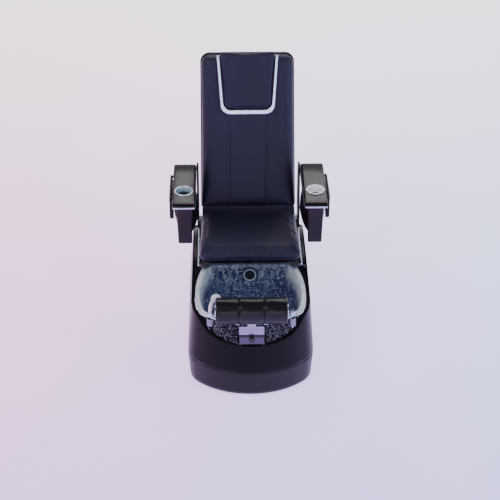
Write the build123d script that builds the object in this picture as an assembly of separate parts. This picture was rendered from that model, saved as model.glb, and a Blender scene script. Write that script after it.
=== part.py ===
from build123d import *
import math
import os

# Pedicure spa chair, modelled in millimetres.
# X points to the right seen from the front, Y to the rear and Z up from the floor. Left and right in
# names are as seen from the front.
# Everything is laid out from LAYOUT_Y = 0 near the seat's front edge, and CENTRE_Y moves the
# finished parts so that the origin lies under the middle of the overall box.

CENTRE_Y = 176.0

# ---- base shell -------------------------------------------------------------
WALL = 5.0
SKIRT_LOW = 12.0
SHUT_LINE = 137.0
SHUT_GAP = 3.0
SHELL_TOP = 520.0
BASE_REAR = 560.0
CORNER_Y = -223.0
FLOOR_HALF = 300.0
CREASE_HALF = 310.0
TOP_HALF = 283.0
FLOOR_FRONT = -385.0
CREASE_FRONT = -398.0
TOP_FRONT = -388.0
PLAN_REAR_RADIUS = 70.0
PLAN_FRONT_RADIUS = 40.0
# Height of the shell's upper edge along the chair, from the front lip to the rear.
RIM_CURVE = [(-420, 285), (-385, 297), (-330, 325), (-280, 380), (-150, 432), (0, 468),
             (120, 498), (330, 503), (450, 480), (600, 436)]
DECK_DROP = 7.0
DECK_THICK = 5.0

BUTTON_PLACE = (271.0, 40.0)

# ---- foot bowl --------------------------------------------------------------
BOWL_SLOPE = 9.6
BOWL_REAR_Y = 100.0
BOWL_REAR_Z = 475.0
BOWL_FLOOR_Z = 270.0
GLASS = 8.0
RIM_WIDTH = 22.0
FITTING_X = 197.0
FITTING_Y = -296.0
DRAIN_Y = -60.0
# (rear half, side half, front corner half, front arc half), (rear, side, corner, arc, tip) in Y
BOWL_RIM = ((222, 270, 247, 208), (100, -160, -290, -298, -366))
BOWL_FLOOR = ((172, 212, 190, 168), (62, -150, -262, -268, -340))

# Belly between the deck's front edge and the rim's nose, and the towers around the rim's fittings.
APRON_LOW_Z = 284.0
APRON_LOW_Y = -63.0
APRON_LOW_R = 318.0
APRON_DROP = 9.2
APRON_TOP_Y = -14.0
APRON_TOP_R = 348.0
APRON_HALF = 206.0
TOWER_R = 18.0

# ---- frame ------------------------------------------------------------------
RAIL_OUT = 235.0
RAIL_IN = 205.0
RAIL_FRONT = -285.0
RAIL_REAR = 530.0
RAIL_LOW = 32.0
RAIL_HIGH = 72.0
TUBE = 30.0
TUBE_WALL = 3.0
CROSS_HIGH = 56.0
BOWL_POST_Y = (-230.0, 0.0)
UPRIGHT_Y = 165.0
TOP_RAIL_LOW = 430.0
TOP_RAIL_HIGH = 458.0
WELL_HALF = 263.0

# ---- seat -------------------------------------------------------------------
SLIDE_X = 150.0
SEAT_FRAME_LOW = 487.0
SEAT_FRAME_HIGH = 526.0
SEAT_PAN_TOP = 540.0
SEAT_REAR = 384.0
REAR_COVER_END = 545.0
REAR_COVER_TOP = 488.0
SEAT_HALF_REAR = 247.0
SEAT_HALF_FRONT = 257.0
# The frame stays behind the bowl's rear rim; only thin cheeks reach forward under the seat's nose.
NOSE_FRONT = -26.0
NOSE_HALF = 200.0
NOSE_REAR = 98.0
NOSE_LOW = 518.0
SEAT_FRAME_FRONT = 106.0

# ---- recline hinge and back, built flat and then leaned back ------------------
HINGE_Y = 420.0
HINGE_Z = 560.0
LEAN = 16.5
BACK_HALF = 240.0
BACK_FRONT = -36.0
BACK_REAR = 118.0
BACK_TOP = 842.0
PAD_DEPTH = 70.0
RAIL_DEPTH = 49.0

# ---- arms -------------------------------------------------------------------
ARM_HINGE_Y = 430.0
ARM_HINGE_Z = 838.0
RISER_IN = 251.0
RISER_THICK = 6.0
SLAB_IN = 265.0
SLAB_OUT = 374.0
SLAB_FRONT = -30.0
SLAB_SLOPE = 4.5
SLAB_FRONT_TOP = 867.0
SLAB_LOW = 848.0
CUP_X = 320.7
CUP_Y = 97.0
CUP_RING_R = 46.5
CUP_BODY_R = 39.0
CUP_DEPTH = 52.0
TRAY_PIN_X = 385.0
TRAY_PIN_Z = 857.0
TRAY_Y0 = 80.0
TRAY_Y1 = 290.0
TRAY_LOW = 722.0
TRAY_IN = 372.0
TRAY_OUT = 392.0
TRAY_SHOULDER = 845.0

# ---- foot rest ----------------------------------------------------------------
REST_Y = -358.0
REST_Z = 470.0
REST_R = 66.0
REST_HALF = 171.0
REST_SEAM = 60.0
TRACK_FRONT = -380.0
TRACK_REAR = -374.0
TRACK_BOLT_Z = (120, 220)

RUNNING_FIT = 0.05


def block(x0, x1, y0, y1, z0, z1):
    """Rectangular block between two corners."""
    centre = Pos((x0 + x1) / 2, (y0 + y1) / 2, (z0 + z1) / 2)
    return centre * Box(x1 - x0, y1 - y0, z1 - z0)


def rounded_block(x0, x1, y0, y1, z0, z1, radius):
    """Block whose upright edges are rounded."""
    solid = block(x0, x1, y0, y1, z0, z1)
    return fillet(solid.edges().filter_by(Axis.Z), radius)


def rod(start, end, radius):
    """Round bar from one point to another."""
    direction = Vector(*end) - Vector(*start)
    plane = Plane(origin=start, z_dir=direction)
    return extrude(plane * Circle(radius), amount=direction.length)


def pipe(points, radius, bore=0.0):
    """Round tube through a few points, with ball-shaped elbows."""
    solid = rod(points[0], points[1], radius)
    for start, end in zip(points[1:], points[2:]):
        solid += Pos(*start) * Sphere(radius)
        solid += rod(start, end, radius)
    if bore:
        solid -= pipe(points, bore)
    return solid


def square_tube(x0, x1, y0, y1, z0, z1):
    """Hollow rectangular steel tube along its longest side, with open ends."""
    spans = {"x": x1 - x0, "y": y1 - y0, "z": z1 - z0}
    longest = max(spans, key=spans.get)
    inset = {axis: 0.0 if axis == longest else TUBE_WALL for axis in spans}
    inner = block(x0 + inset["x"], x1 - inset["x"], y0 + inset["y"], y1 - inset["y"],
                  z0 + inset["z"], z1 - inset["z"])
    return block(x0, x1, y0, y1, z0, z1) - inner


def side_profile(points, x0, x1):
    """Solid from a closed (Y, Z) outline, drawn across the chair from x0 to x1."""
    face = Plane.YZ.offset(x0) * make_face(Polyline(*points, close=True))
    return extrude(face, amount=x1 - x0)


def mirrored(solid):
    """The same piece on the other side of the chair."""
    return mirror(solid, about=Plane.YZ)


def both(solid):
    """A piece together with its twin on the other side."""
    return [solid, mirrored(solid)]


# ---- base -------------------------------------------------------------------
def base_plan(height, half, front, inset=0.0):
    """Outline of the base at one height: a curved front, straight sides, rounded rear corners."""
    half -= inset
    front += inset
    rear = BASE_REAR - inset
    corner = CORNER_Y
    edges = [ThreePointArc((-half, corner), (0, front), (half, corner)),
             Line((half, corner), (half, rear)),
             Line((half, rear), (-half, rear)),
             Line((-half, rear), (-half, corner))]
    face = make_face(edges)
    rear_corners = [v for v in face.vertices() if v.Y > 0]
    front_corners = [v for v in face.vertices() if v.Y < 0]
    face = fillet(rear_corners, PLAN_REAR_RADIUS - inset)
    front_corners = [v for v in face.vertices() if abs(v.Y - corner) < 1]
    face = fillet(front_corners, PLAN_FRONT_RADIUS)
    return Pos(0, 0, height) * face


def lofted_wall(low, high, wall=WALL):
    """Open-ended hollow wall between two outlines, each (height, half, front)."""
    outer = loft([base_plan(*low), base_plan(*high)], ruled=True)
    inner = loft([base_plan(*low, inset=wall), base_plan(*high, inset=wall)], ruled=True)
    return outer - inner


def shell_level(height):
    """Half-width and front of the upper shell at one height."""
    share = (height - SHUT_LINE) / (SHELL_TOP - SHUT_LINE)
    half = CREASE_HALF + share * (TOP_HALF - CREASE_HALF)
    front = CREASE_FRONT + share * (TOP_FRONT - CREASE_FRONT)
    return height, half, front


def under_rim(drop, low):
    """Everything below the shell's upper edge, lowered by drop, and above low."""
    curve = Spline(*[(y, z - drop) for y, z in RIM_CURVE])
    first = curve @ 0
    last = curve @ 1
    edges = [curve, Line(last, (last.X, low)), Line((last.X, low), (first.X, low)),
             Line((first.X, low), first)]
    face = Plane.YZ.offset(-400) * make_face(edges)
    return extrude(face, amount=800)


def seat_well():
    """Opening in the deck that the seat's frame and slides stand in."""
    return block(-WELL_HALF, WELL_HALF, BOWL_REAR_Y - 4, 546, 350, 560)


def make_base_shell():
    low = shell_level(SHUT_LINE + SHUT_GAP)
    high = shell_level(SHELL_TOP)
    shell = lofted_wall(low, high) & under_rim(0, SHUT_LINE)
    return shell - block(-152, 152, BASE_REAR - 20, BASE_REAR + 20, 178, 402)


def make_base_skirt():
    skirt = lofted_wall((SKIRT_LOW, FLOOR_HALF, FLOOR_FRONT), (SHUT_LINE, CREASE_HALF, CREASE_FRONT))
    skirt -= rod((0, BASE_REAR - 30, 110), (0, BASE_REAR + 30, 110), 23)
    for x in (-150, -110):
        skirt -= rod((x, BASE_REAR - 30, 100), (x, BASE_REAR + 30, 100), 11)
    skirt -= block(126, 174, BASE_REAR - 30, BASE_REAR + 30, 88, 117)
    return skirt


def bowl_outline(plane, halves, stations, inset=0.0):
    """Bowl outline on a plane: straight rear, bulging sides, square front corners, curved nose."""
    rear_half, side_half, corner_half, arc_half = [half - inset for half in halves]
    rear, side, corner, arc, tip = stations
    stretch = 1 / math.cos(math.radians(plane_slope(plane)))
    ys = [(y - plane.origin.Y) * stretch for y in (rear - inset, side, corner + inset, arc + inset,
                                                   tip + inset)]
    edges = [Line((rear_half, ys[0]), (-rear_half, ys[0])),
             ThreePointArc((-rear_half, ys[0]), (-side_half, ys[1]), (-corner_half, ys[2])),
             Line((-corner_half, ys[2]), (-arc_half, ys[3])),
             ThreePointArc((-arc_half, ys[3]), (0, ys[4]), (arc_half, ys[3])),
             Line((arc_half, ys[3]), (corner_half, ys[2])),
             ThreePointArc((corner_half, ys[2]), (side_half, ys[1]), (rear_half, ys[0]))]
    return plane * make_face(edges)


def plane_slope(plane):
    """Angle in degrees between a plane and the floor."""
    return math.degrees(math.acos(min(1.0, plane.z_dir.Z)))


def rim_plane(drop=0.0):
    """Sloping plane of the bowl's rim, or a parallel one below it."""
    slope = math.radians(BOWL_SLOPE)
    normal = (0, -math.sin(slope), math.cos(slope))
    origin = (0, BOWL_REAR_Y + drop * math.sin(slope), BOWL_REAR_Z - drop * math.cos(slope))
    return Plane(origin=origin, x_dir=(1, 0, 0), z_dir=normal)


def rim_height(y):
    """Height of the bowl's rim above the floor at one place along the chair."""
    return BOWL_REAR_Z + (y - BOWL_REAR_Y) * math.tan(math.radians(BOWL_SLOPE))


def bowl_body(grow=0.0):
    """Outside of the basin without its flange, optionally a little larger all round."""
    top = bowl_outline(rim_plane(), *BOWL_RIM, inset=RIM_WIDTH - GLASS - grow)
    low = bowl_outline(Plane((0, 0, BOWL_FLOOR_Z - grow)), *BOWL_FLOOR, inset=-grow)
    return loft([low, top], ruled=True)


def rim_prism(grow, thickness, lift=0.0):
    """The rim's outline as a plate of the given thickness, hanging from the rim plane."""
    face = bowl_outline(rim_plane(-lift), *BOWL_RIM, inset=-grow)
    return extrude(face, amount=-thickness)


def jet_plane():
    """Plane of the jet on the bowl's rear wall, facing forward into the bowl."""
    lean = math.radians(6.9)
    return Plane(origin=(0, 71.3, 420), x_dir=(1, 0, 0), z_dir=(0, -math.cos(lean), math.sin(lean)))


def jet_cylinder(radius, start, end):
    """Cylinder on the jet's axis, from start to end measured into the bowl."""
    return jet_plane() * Pos(0, 0, (start + end) / 2) * Cylinder(radius, abs(end - start))


def rim_fitting(x):
    """Place of a fitting on the front of the rim."""
    return x, FITTING_Y, rim_height(FITTING_Y)


def make_glass_bowl():
    cavity_top = bowl_outline(rim_plane(-4), *BOWL_RIM, inset=RIM_WIDTH)
    cavity_low = bowl_outline(Plane((0, 0, BOWL_FLOOR_Z + GLASS)), *BOWL_FLOOR, inset=GLASS)
    bowl = bowl_body() + rim_prism(0, GLASS)
    bowl -= loft([cavity_low, cavity_top], ruled=True)
    bowl -= rod((0, DRAIN_Y, 200), (0, DRAIN_Y, 300), 20)
    bowl -= jet_cylinder(30, -60, 60)
    for x in (-FITTING_X, FITTING_X):
        px, py, pz = rim_fitting(x)
        bowl -= rod((px, py, pz - 40), (px, py, pz + 20), 7)
    return bowl


def make_base_deck():
    inner = loft([base_plan(*shell_level(150), inset=WALL + 0.5),
                  base_plan(*shell_level(SHELL_TOP), inset=WALL + 0.5)], ruled=True)
    band = under_rim(DECK_DROP, 150) - under_rim(DECK_DROP + DECK_THICK, 140)
    deck = (inner & band) - seat_well() - bowl_body(grow=1.5) - rim_prism(2, 60, lift=50)
    deck -= rim_prism(2, 20)
    deck -= block(-66, 66, -420, -366, 200, 420)
    for x in (-FITTING_X, FITTING_X):
        px, py, pz = rim_fitting(x)
        deck -= rod((px, py, 200), (px, py, 420), 16)
    x, y = BUTTON_PLACE
    deck += rod((x, y, 458), (x, y, 466), 8) & inner
    deck -= rod((x, y, 400), (x, y, 520), 2 + RUNNING_FIT)
    pieces = sorted(deck.solids(), key=lambda s: s.volume, reverse=True)
    return [piece for piece in pieces if piece.volume > 2000]


def apron_cone(shrink=0.0):
    """Cone from the deck's front edge up to the underside of the rim's nose."""
    low = Pos(0, APRON_LOW_Y, APRON_LOW_Z) * Circle(APRON_LOW_R - shrink)
    stretch = 1 / math.cos(math.radians(BOWL_SLOPE))
    top = rim_plane(APRON_DROP) * Pos(0, (APRON_TOP_Y - BOWL_REAR_Y) * stretch) * Circle(APRON_TOP_R - shrink)
    return loft([low, top], ruled=True)


def make_bowl_apron():
    """Belly in front of the bowl, with a tower around each fitting of the rim."""
    apron = apron_cone() - apron_cone(shrink=4)
    apron &= block(-APRON_HALF, APRON_HALF, -400, -255, 250, 430)
    ceiling = extrude(rim_plane(APRON_DROP) * Rectangle(900, 1400), amount=200)
    for x in (-FITTING_X, FITTING_X):
        tower = rod((x, FITTING_Y, 280), (x, FITTING_Y, 430), TOWER_R)
        apron += tower - ceiling
    for x in (-FITTING_X, FITTING_X):
        apron -= rod((x, FITTING_Y, 270), (x, FITTING_Y, 440), TOWER_R - 4)
    apron -= bowl_body(grow=1.6)
    apron -= block(-66, 66, -420, -340, 200, 430)
    apron -= under_rim(DECK_DROP - 0.4, 100)
    pieces = sorted(apron.solids(), key=lambda s: s.volume, reverse=True)
    return [piece for piece in pieces if piece.volume > 3000]


def make_base_frame():
    """Welded base frame: floor rails, uprights, bowl supports, upper rails and panel bars."""
    members = []
    for side in (-1, 1):
        x0, x1 = sorted((side * RAIL_IN, side * RAIL_OUT))
        members.append(square_tube(x0, x1, RAIL_FRONT, RAIL_REAR, RAIL_LOW, RAIL_HIGH))
        members.append(square_tube(x0, x1, UPRIGHT_Y, RAIL_REAR, TOP_RAIL_LOW, TOP_RAIL_HIGH))
        for y in (UPRIGHT_Y, RAIL_REAR - TUBE):
            members.append(square_tube(x0, x1, y, y + TUBE, RAIL_HIGH, TOP_RAIL_LOW))
        x2, x3 = sorted((side * 110, side * (110 + TUBE)))
        for y in BOWL_POST_Y:
            members.append(square_tube(x2, x3, y, y + TUBE, CROSS_HIGH, 232))
        members.append(square_tube(x2, x3, BOWL_POST_Y[0], BOWL_POST_Y[1] + TUBE, 232, 262))
    for y in (RAIL_FRONT, *BOWL_POST_Y, UPRIGHT_Y, RAIL_REAR - TUBE):
        members.append(square_tube(-RAIL_IN, RAIL_IN, y, y + TUBE, RAIL_LOW, CROSS_HIGH))
    for y in (UPRIGHT_Y + 31, RAIL_REAR - 26):
        members.append(square_tube(-RAIL_IN, RAIL_IN, y, y + 26, TOP_RAIL_LOW, TOP_RAIL_HIGH))
    members.append(square_tube(-45, 45, TRACK_REAR, RAIL_FRONT, RAIL_LOW, CROSS_HIGH))
    members.append(square_tube(-45, 45, TRACK_REAR, TRACK_REAR + 24, CROSS_HIGH, 250))
    for z in (186, 376):
        members.append(square_tube(-RAIL_OUT, RAIL_OUT, RAIL_REAR, BASE_REAR - 8, z, z + 16))
    for x in (70, 160):
        members.append(square_tube(x, x + 20, UPRIGHT_Y + TUBE, RAIL_REAR - TUBE, RAIL_LOW, CROSS_HIGH))
    frame = members[0]
    for member in members[1:]:
        frame += member
    for x, y in foot_places():
        frame -= rod((x, y, 20), (x, y, 60), 6)
    for x, y, z in frame_bolt_places():
        frame -= rod((x, y, z - 20), (x, y, z + 2), 4)
    for x, z in panel_screw_places():
        frame -= rod((x, 545, z), (x, 560, z), 2.5)
    for z in TRACK_BOLT_Z:
        frame -= rod((0, TRACK_REAR - 2, z), (0, TRACK_REAR + 14, z), 4)
    return frame


def foot_places():
    return [(x, y) for x in (-220, 220) for y in (-255, 490)]


def frame_bolt_places():
    return [(x, y, TOP_RAIL_HIGH) for x in (-220, 220) for y in (190, 490)]


def panel_screw_places():
    return [(x, z) for x in (-135, 135) for z in (194, 384)]


def make_feet():
    feet = []
    for x, y in foot_places():
        foot = Pos(x, y, 5) * Cylinder(28, 10)
        foot += Pos(x, y, 14) * Cylinder(14, 8)
        foot += Pos(x, y, 37) * Cylinder(6, 38)
        feet.append(foot)
    return feet


def make_rear_panel():
    panel = block(-150, 150, BASE_REAR - 4, BASE_REAR, 180, 400)
    for x in range(-90, 91, 20):
        panel -= block(x - 4, x + 4, BASE_REAR - 10, BASE_REAR + 5, 250, 330)
    for x, z in panel_screw_places():
        panel -= rod((x, 540, z), (x, 570, z), 2.5)
    return panel + block(-150, 150, BASE_REAR - 8, BASE_REAR - 4, 380, 400) - block(
        -140, -130, BASE_REAR - 9, BASE_REAR - 3.9, 379, 389) - block(
        130, 140, BASE_REAR - 9, BASE_REAR - 3.9, 379, 389)


def make_fasteners():
    """Bolts of the upper rails and of the foot rest's track, and the rear panel's screws."""
    bolts = [rod((x, y, z - 18), (x, y, z), 4) + rod((x, y, z), (x, y, z + 5), 7)
             for x, y, z in frame_bolt_places()]
    bolts += [rod((0, TRACK_FRONT, z), (0, TRACK_REAR + 12, z), 4)
              + rod((0, TRACK_FRONT - 4, z), (0, TRACK_FRONT, z), 7) for z in TRACK_BOLT_Z]
    screws = [rod((x, 552, z), (x, BASE_REAR, z), 2.5) + rod((x, BASE_REAR, z), (x, BASE_REAR + 2.5, z), 5)
              for x, z in panel_screw_places()]
    return bolts + screws


def bowl_pad():
    """Soft pad between the bowl's floor and its supports."""
    pad = block(-142, 142, -232, 32, 262, 266)
    pad -= block(-108, 108, -198, -2, 255, 280)
    for x0, x1 in ((-142, -108), (108, 142)):
        pad += block(x0, x1, -232, 32, 266, BOWL_FLOOR_Z)
    return pad


def make_bowl_gaskets():
    """Soft lip that closes the gap between the deck and the glass, and the pad under the bowl."""
    band = under_rim(DECK_DROP - 2, 150) - under_rim(DECK_DROP + DECK_THICK + 2, 140)
    ring = bowl_body(grow=1.3) - bowl_body(grow=0.1)
    lip = (ring & band) - block(-300, 300, 40, 200, 200, 600) - rim_prism(4, 14)
    for x in (-FITTING_X, FITTING_X):
        px, py, pz = rim_fitting(x)
        lip -= rod((px, py, 200), (px, py, 450), 13)
    pieces = sorted(lip.solids(), key=lambda s: s.volume, reverse=True)
    return [piece for piece in pieces if piece.volume > 500] + [bowl_pad()]


def make_drain_strainer():
    y = DRAIN_Y
    floor = BOWL_FLOOR_Z + GLASS
    body = rod((0, y, 225), (0, y, floor), 20) + rod((0, y, floor), (0, y, floor + 3), 32)
    body += rod((0, y, 240), (0, y, BOWL_FLOOR_Z), 27)
    body -= rod((0, y, 220), (0, y, floor + 10), 17)
    spider = rod((0, y, 246), (0, y, 256), 8)
    for angle in range(0, 360, 90):
        arm = Pos(0, y, 251) * Rot(0, 0, angle) * Pos(12, 0, 0) * Box(12, 4, 10)
        spider += arm
    spider -= rod((0, y, 240), (0, y, 262), 4 + RUNNING_FIT)
    return body + spider


def make_drain_plug():
    y = DRAIN_Y
    floor = BOWL_FLOOR_Z + GLASS
    return rod((0, y, 238), (0, y, floor), 4) + rod((0, y, floor - 4), (0, y, floor + 3), 16)


def make_drain_pipe():
    y = DRAIN_Y
    return pipe([(0, y, 225), (0, y, 110), (0, BASE_REAR + 14, 110)], 20, 16)


def make_jet_housing():
    body = jet_cylinder(38, 0.5, 5) + jet_cylinder(29.7, -40, 1)
    body -= jet_cylinder(25, -34, 10)
    body -= jet_cylinder(3 + RUNNING_FIT, -50, 0)
    return body


def make_jet_cap():
    cap = jet_cylinder(34, 5, 9)
    for radius in (12, 24):
        cap -= jet_cylinder(radius + 2.5, 0, 12) - jet_cylinder(radius - 2.5, 0, 12)
        for angle in (0, 60, 120):
            spoke = jet_plane() * Rot(0, 0, angle) * Pos(0, 0, 7) * Box(62, 4, 4)
            cap += spoke
    return cap


def make_jet_impeller():
    wheel = jet_cylinder(8, -28, -10) + jet_cylinder(3, -39, -20)
    for angle in range(0, 360, 60):
        wheel += jet_plane() * Rot(0, 0, angle) * Pos(14, 0, -19) * Box(14, 3, 14)
    return wheel


def make_jet_motor():
    motor = jet_cylinder(32, -108, -41) + jet_cylinder(20, -41, -40)
    return motor - jet_cylinder(4, -60, -39)


def make_mixer():
    """Mixing valve under the rim: body with two inlets and one outlet."""
    x, y, z = rim_fitting(FITTING_X)
    body = rod((x, y, z - 72), (x, y, z - 26), 11)
    body += rod((x, y, z - 26), (x, y, z + 6), 6.5)
    body += rod((x, y, z - 96), (x, y, z - 72), 7)
    return body - rod((x, y, z - 6), (x, y, z + 10), 3 + RUNNING_FIT)


def make_mixer_knob():
    x, y, z = rim_fitting(FITTING_X)
    knob = rod((x, y, z + 7), (x, y, z + 24), 15)
    knob = fillet(knob.edges().sort_by(Axis.Z)[-1], 4)
    knob += rod((x, y, z - 5), (x, y, z + 8), 3)
    return knob + block(x - 3, x + 3, y - 24, y - 8, z + 11, z + 19)


def make_shower_holder():
    x, y, z = rim_fitting(-FITTING_X)
    body = rod((x, y, z - 44), (x, y, z + 6), 6.5) + rod((x, y, z + 4), (x, y, z + 16), 14)
    body += rod((x, y, z - 32), (x, y, z - 24), 9)
    return body - rod((x, y, z + 6), (x, y, z + 20), 9)


def shower_points():
    x, y, z = rim_fitting(-FITTING_X)
    return [(x, y, z + 6.5), (x, y, z + 30), (x + 14, y + 20, z + 82)]


def make_shower_head():
    base, bend, top = shower_points()
    handle = rod(base, bend, 8.5) + Pos(*bend) * Sphere(8.5) + rod(bend, top, 8.5)
    handle += Pos(*top) * Sphere(10)
    tip = (top[0] + 14, top[1] + 34, top[2] - 10)
    face = (top[0] + 16, top[1] + 38, top[2] - 22)
    handle += rod(top, tip, 9)
    return handle + rod(tip, face, 25) + Pos(*tip) * Sphere(12)


def make_water_inlets():
    inlets = []
    for x in (-150, -110):
        body = rod((x, 540, 100), (x, BASE_REAR + 14, 100), 10)
        body += rod((x, 545, 100), (x, 553, 100), 16)
        body -= rod((x, 552, 100), (x, BASE_REAR + 20, 100), 7)
        inlets.append(body)
    return inlets


def make_control_box():
    box = rounded_block(60, 190, 300, 440, RAIL_LOW + 24, 150, 8)
    box += rounded_block(64, 186, 304, 436, 150, 156, 6)
    for y in range(320, 430, 14):
        box -= block(58, 63, y, y + 6, 80, 130)
    return box


def make_power_inlet():
    body = block(127, 173, 540, BASE_REAR + 2, 89, 116)
    body += block(120, 180, BASE_REAR - 5 + 8, BASE_REAR + 6, 84, 121)
    body -= block(134, 166, 552, BASE_REAR + 8, 93, 112)
    for x in (142, 150, 158):
        body += block(x - 1, x + 1, 550, BASE_REAR + 1, 99, 105)
    return body


def make_jet_button():
    x, y = BUTTON_PLACE
    return rod((x, y, 479), (x, y, 489), 7.5) + rod((x, y, 455), (x, y, 480), 2)


# ---- foot rest ----------------------------------------------------------------
def make_footrest_track():
    track = block(-50, 50, TRACK_FRONT, TRACK_REAR, 100, 398)
    track -= block(-4.7, 4.7, TRACK_FRONT - 5, TRACK_REAR + 5, 322, 402)
    for z in TRACK_BOLT_Z:
        track -= rod((0, TRACK_FRONT - 5, z), (0, TRACK_REAR + 5, z), 4)
    return track


def make_footrest_carrier():
    front = block(-60, 60, TRACK_FRONT - 12, TRACK_FRONT - 4, 314, 402)
    for z in (332, 346, 374, 388):
        front -= block(-60, 60, TRACK_FRONT - 14, TRACK_FRONT - 10.5, z - 1.5, z + 1.5)
    for side in (-1, 1):
        x0, x1 = sorted((side * 50.5, side * 60))
        front += block(x0, x1, TRACK_FRONT - 4, TRACK_REAR + 2, 314, 402)
    front -= rod((0, -420, 336), (0, -380, 336), 4 + RUNNING_FIT)
    web = side_profile([(TRACK_FRONT - 12, 396), (TRACK_FRONT - 4, 396), (REST_Y + 8, REST_Z),
                        (REST_Y - 8, REST_Z)], -20, 20)
    return front + web


def make_footrest_bar():
    """Tube through the rolls with a disc at each end."""
    bar = rod((-REST_HALF, REST_Y, REST_Z), (REST_HALF, REST_Y, REST_Z), 14)
    bar -= rod((-REST_HALF, REST_Y, REST_Z), (REST_HALF, REST_Y, REST_Z), 11)
    for side in (-1, 1):
        bar += rod((side * REST_HALF, REST_Y, REST_Z), (side * (REST_HALF + 4), REST_Y, REST_Z), 30)
    return bar - make_footrest_carrier()


def make_footrest_pads():
    """Three padded rolls on the bar, the middle one slotted for the carrier's web."""
    pads = []
    spans = ((-REST_HALF, -REST_SEAM - 0.5), (-REST_SEAM, REST_SEAM), (REST_SEAM + 0.5, REST_HALF))
    for start, end in spans:
        roll = rod((start, REST_Y, REST_Z), (end, REST_Y, REST_Z), REST_R)
        roll = fillet(roll.edges().filter_by(GeomType.CIRCLE), 6)
        roll -= rod((start - 1, REST_Y, REST_Z), (end + 1, REST_Y, REST_Z), 14)
        pads.append(roll)
    slot = side_profile([(TRACK_FRONT - 16, 390), (TRACK_FRONT, 390), (REST_Y + 12, REST_Z),
                         (REST_Y - 12, REST_Z)], -21, 21)
    pads[1] = pads[1] - slot
    return pads


def make_footrest_knob():
    knob = rod((0, -416, 336), (0, -393, 336), 13)
    for angle in range(0, 360, 45):
        knob -= Pos(0, 0, 336) * Rot(0, angle, 0) * rod((14.5, -420, 0), (14.5, -390, 0), 3)
    knob += rod((0, -393, 336), (0, TRACK_REAR + 3, 336), 4)
    return knob


# ---- seat carriage ------------------------------------------------------------
def make_slide_rails():
    """Fixed channels that the seat's slide bars run in."""
    rails = []
    for side in (-1, 1):
        x = side * SLIDE_X
        rail = block(x - 22, x + 22, UPRIGHT_Y, RAIL_REAR, TOP_RAIL_HIGH, 482)
        rail -= block(x - 18, x + 18, UPRIGHT_Y - 1, RAIL_REAR + 1, 461, 478)
        rail -= block(x - 9, x + 9, UPRIGHT_Y - 1, RAIL_REAR + 1, 470, 490)
        rails.append(rail)
    return rails


def slide_bars():
    """T-shaped bars under the seat frame that run in the fixed channels."""
    bars = []
    for side in (-1, 1):
        x = side * SLIDE_X
        bar = block(x - 17.5, x + 17.5, UPRIGHT_Y + 5, 425, 461.5, 477.5)
        bar += block(x - 8, x + 8, UPRIGHT_Y + 5, 425, 470, SEAT_FRAME_LOW)
        bars.append(bar)
    return bars


def make_slide_actuator():
    """Screw drive between the slides: a motor with its fixed lead screw."""
    motor = rounded_block(-30, 30, 470, 528, TOP_RAIL_LOW - 50, TOP_RAIL_LOW, 8)
    motor += block(-20, 20, 440, 470, 396, 424)
    return motor + rod((0, 196, 410), (0, 441, 410), 7)


def make_seat_frame():
    """Welded seat frame with its pressed pan and the drive's nut bracket."""
    frame = square_tube(-236, -206, SEAT_FRAME_FRONT, 470, SEAT_FRAME_LOW, SEAT_FRAME_HIGH)
    frame += square_tube(206, 236, SEAT_FRAME_FRONT, 470, SEAT_FRAME_LOW, SEAT_FRAME_HIGH)
    for y in (SEAT_FRAME_FRONT, 226, 440):
        frame += square_tube(-206, 206, y, y + 30, SEAT_FRAME_LOW, SEAT_FRAME_HIGH)
    for side in (-1, 1):
        x0, x1 = sorted((side * 236, side * RISER_IN))
        frame += block(x0, x1, 400, 460, SEAT_FRAME_LOW, SEAT_FRAME_HIGH)
    pan = rounded_block(-240, 240, -20, 380, SEAT_FRAME_HIGH, SEAT_PAN_TOP, 20)
    pan -= block(-200, 200, 60, 340, SEAT_FRAME_HIGH - 1, SEAT_PAN_TOP - 4)
    pan -= block(-NOSE_HALF, NOSE_HALF, -30, 34, SEAT_FRAME_HIGH - 1, SEAT_PAN_TOP + 1)
    for side in (-1, 1):
        x0, x1 = sorted((side * 230, side * 236))
        pan += block(x0, x1, -10, SEAT_FRAME_FRONT, SEAT_FRAME_HIGH - 8, SEAT_FRAME_HIGH)
    nut = block(-18, 18, 226, 256, 392, SEAT_FRAME_LOW)
    nut -= rod((0, 200, 410), (0, 300, 410), 7.6)
    for bar in slide_bars():
        frame += bar
    frame += pan
    return frame + nut


def make_seat_cushion():
    """Seat pad with a waterfall front edge, a little wider at the front."""
    outline = [(SEAT_REAR, SEAT_PAN_TOP), (26, SEAT_PAN_TOP)]
    nose = Spline((26, SEAT_PAN_TOP), (-40, 562), (-72, 592), (-50, 624), (20, 634))
    top = Spline((20, 634), (200, 628), (SEAT_REAR, 622), tangents=((1, 0.02), (1, 0)))
    edges = [Line(*outline), nose, top, Line((SEAT_REAR, 622), (SEAT_REAR, SEAT_PAN_TOP))]
    body = extrude(Plane.YZ.offset(-300) * make_face(edges), amount=600)
    plan = [(-SEAT_HALF_FRONT, -100), (SEAT_HALF_FRONT, -100), (SEAT_HALF_FRONT, 60),
            (SEAT_HALF_REAR, 300), (SEAT_HALF_REAR, SEAT_REAR), (-SEAT_HALF_REAR, SEAT_REAR),
            (-SEAT_HALF_REAR, 300), (-SEAT_HALF_FRONT, 60)]
    return body & extrude(Pos(0, 0, 500) * make_face(Polyline(*plan, close=True)), amount=200)


def shroud_outline(inward=0.0):
    """Block around the seat frame, notched in front so that the bowl's rear rim stays clear."""
    ring = rounded_block(-250 + inward, 250 - inward, NOSE_FRONT + inward, 476 - inward,
                         SEAT_FRAME_LOW - inward, 536 + inward, 18 - inward)
    half = NOSE_HALF + inward
    return ring - block(-half, half, NOSE_FRONT - 10, NOSE_REAR + inward, SEAT_FRAME_LOW - 10, 550)


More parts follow.
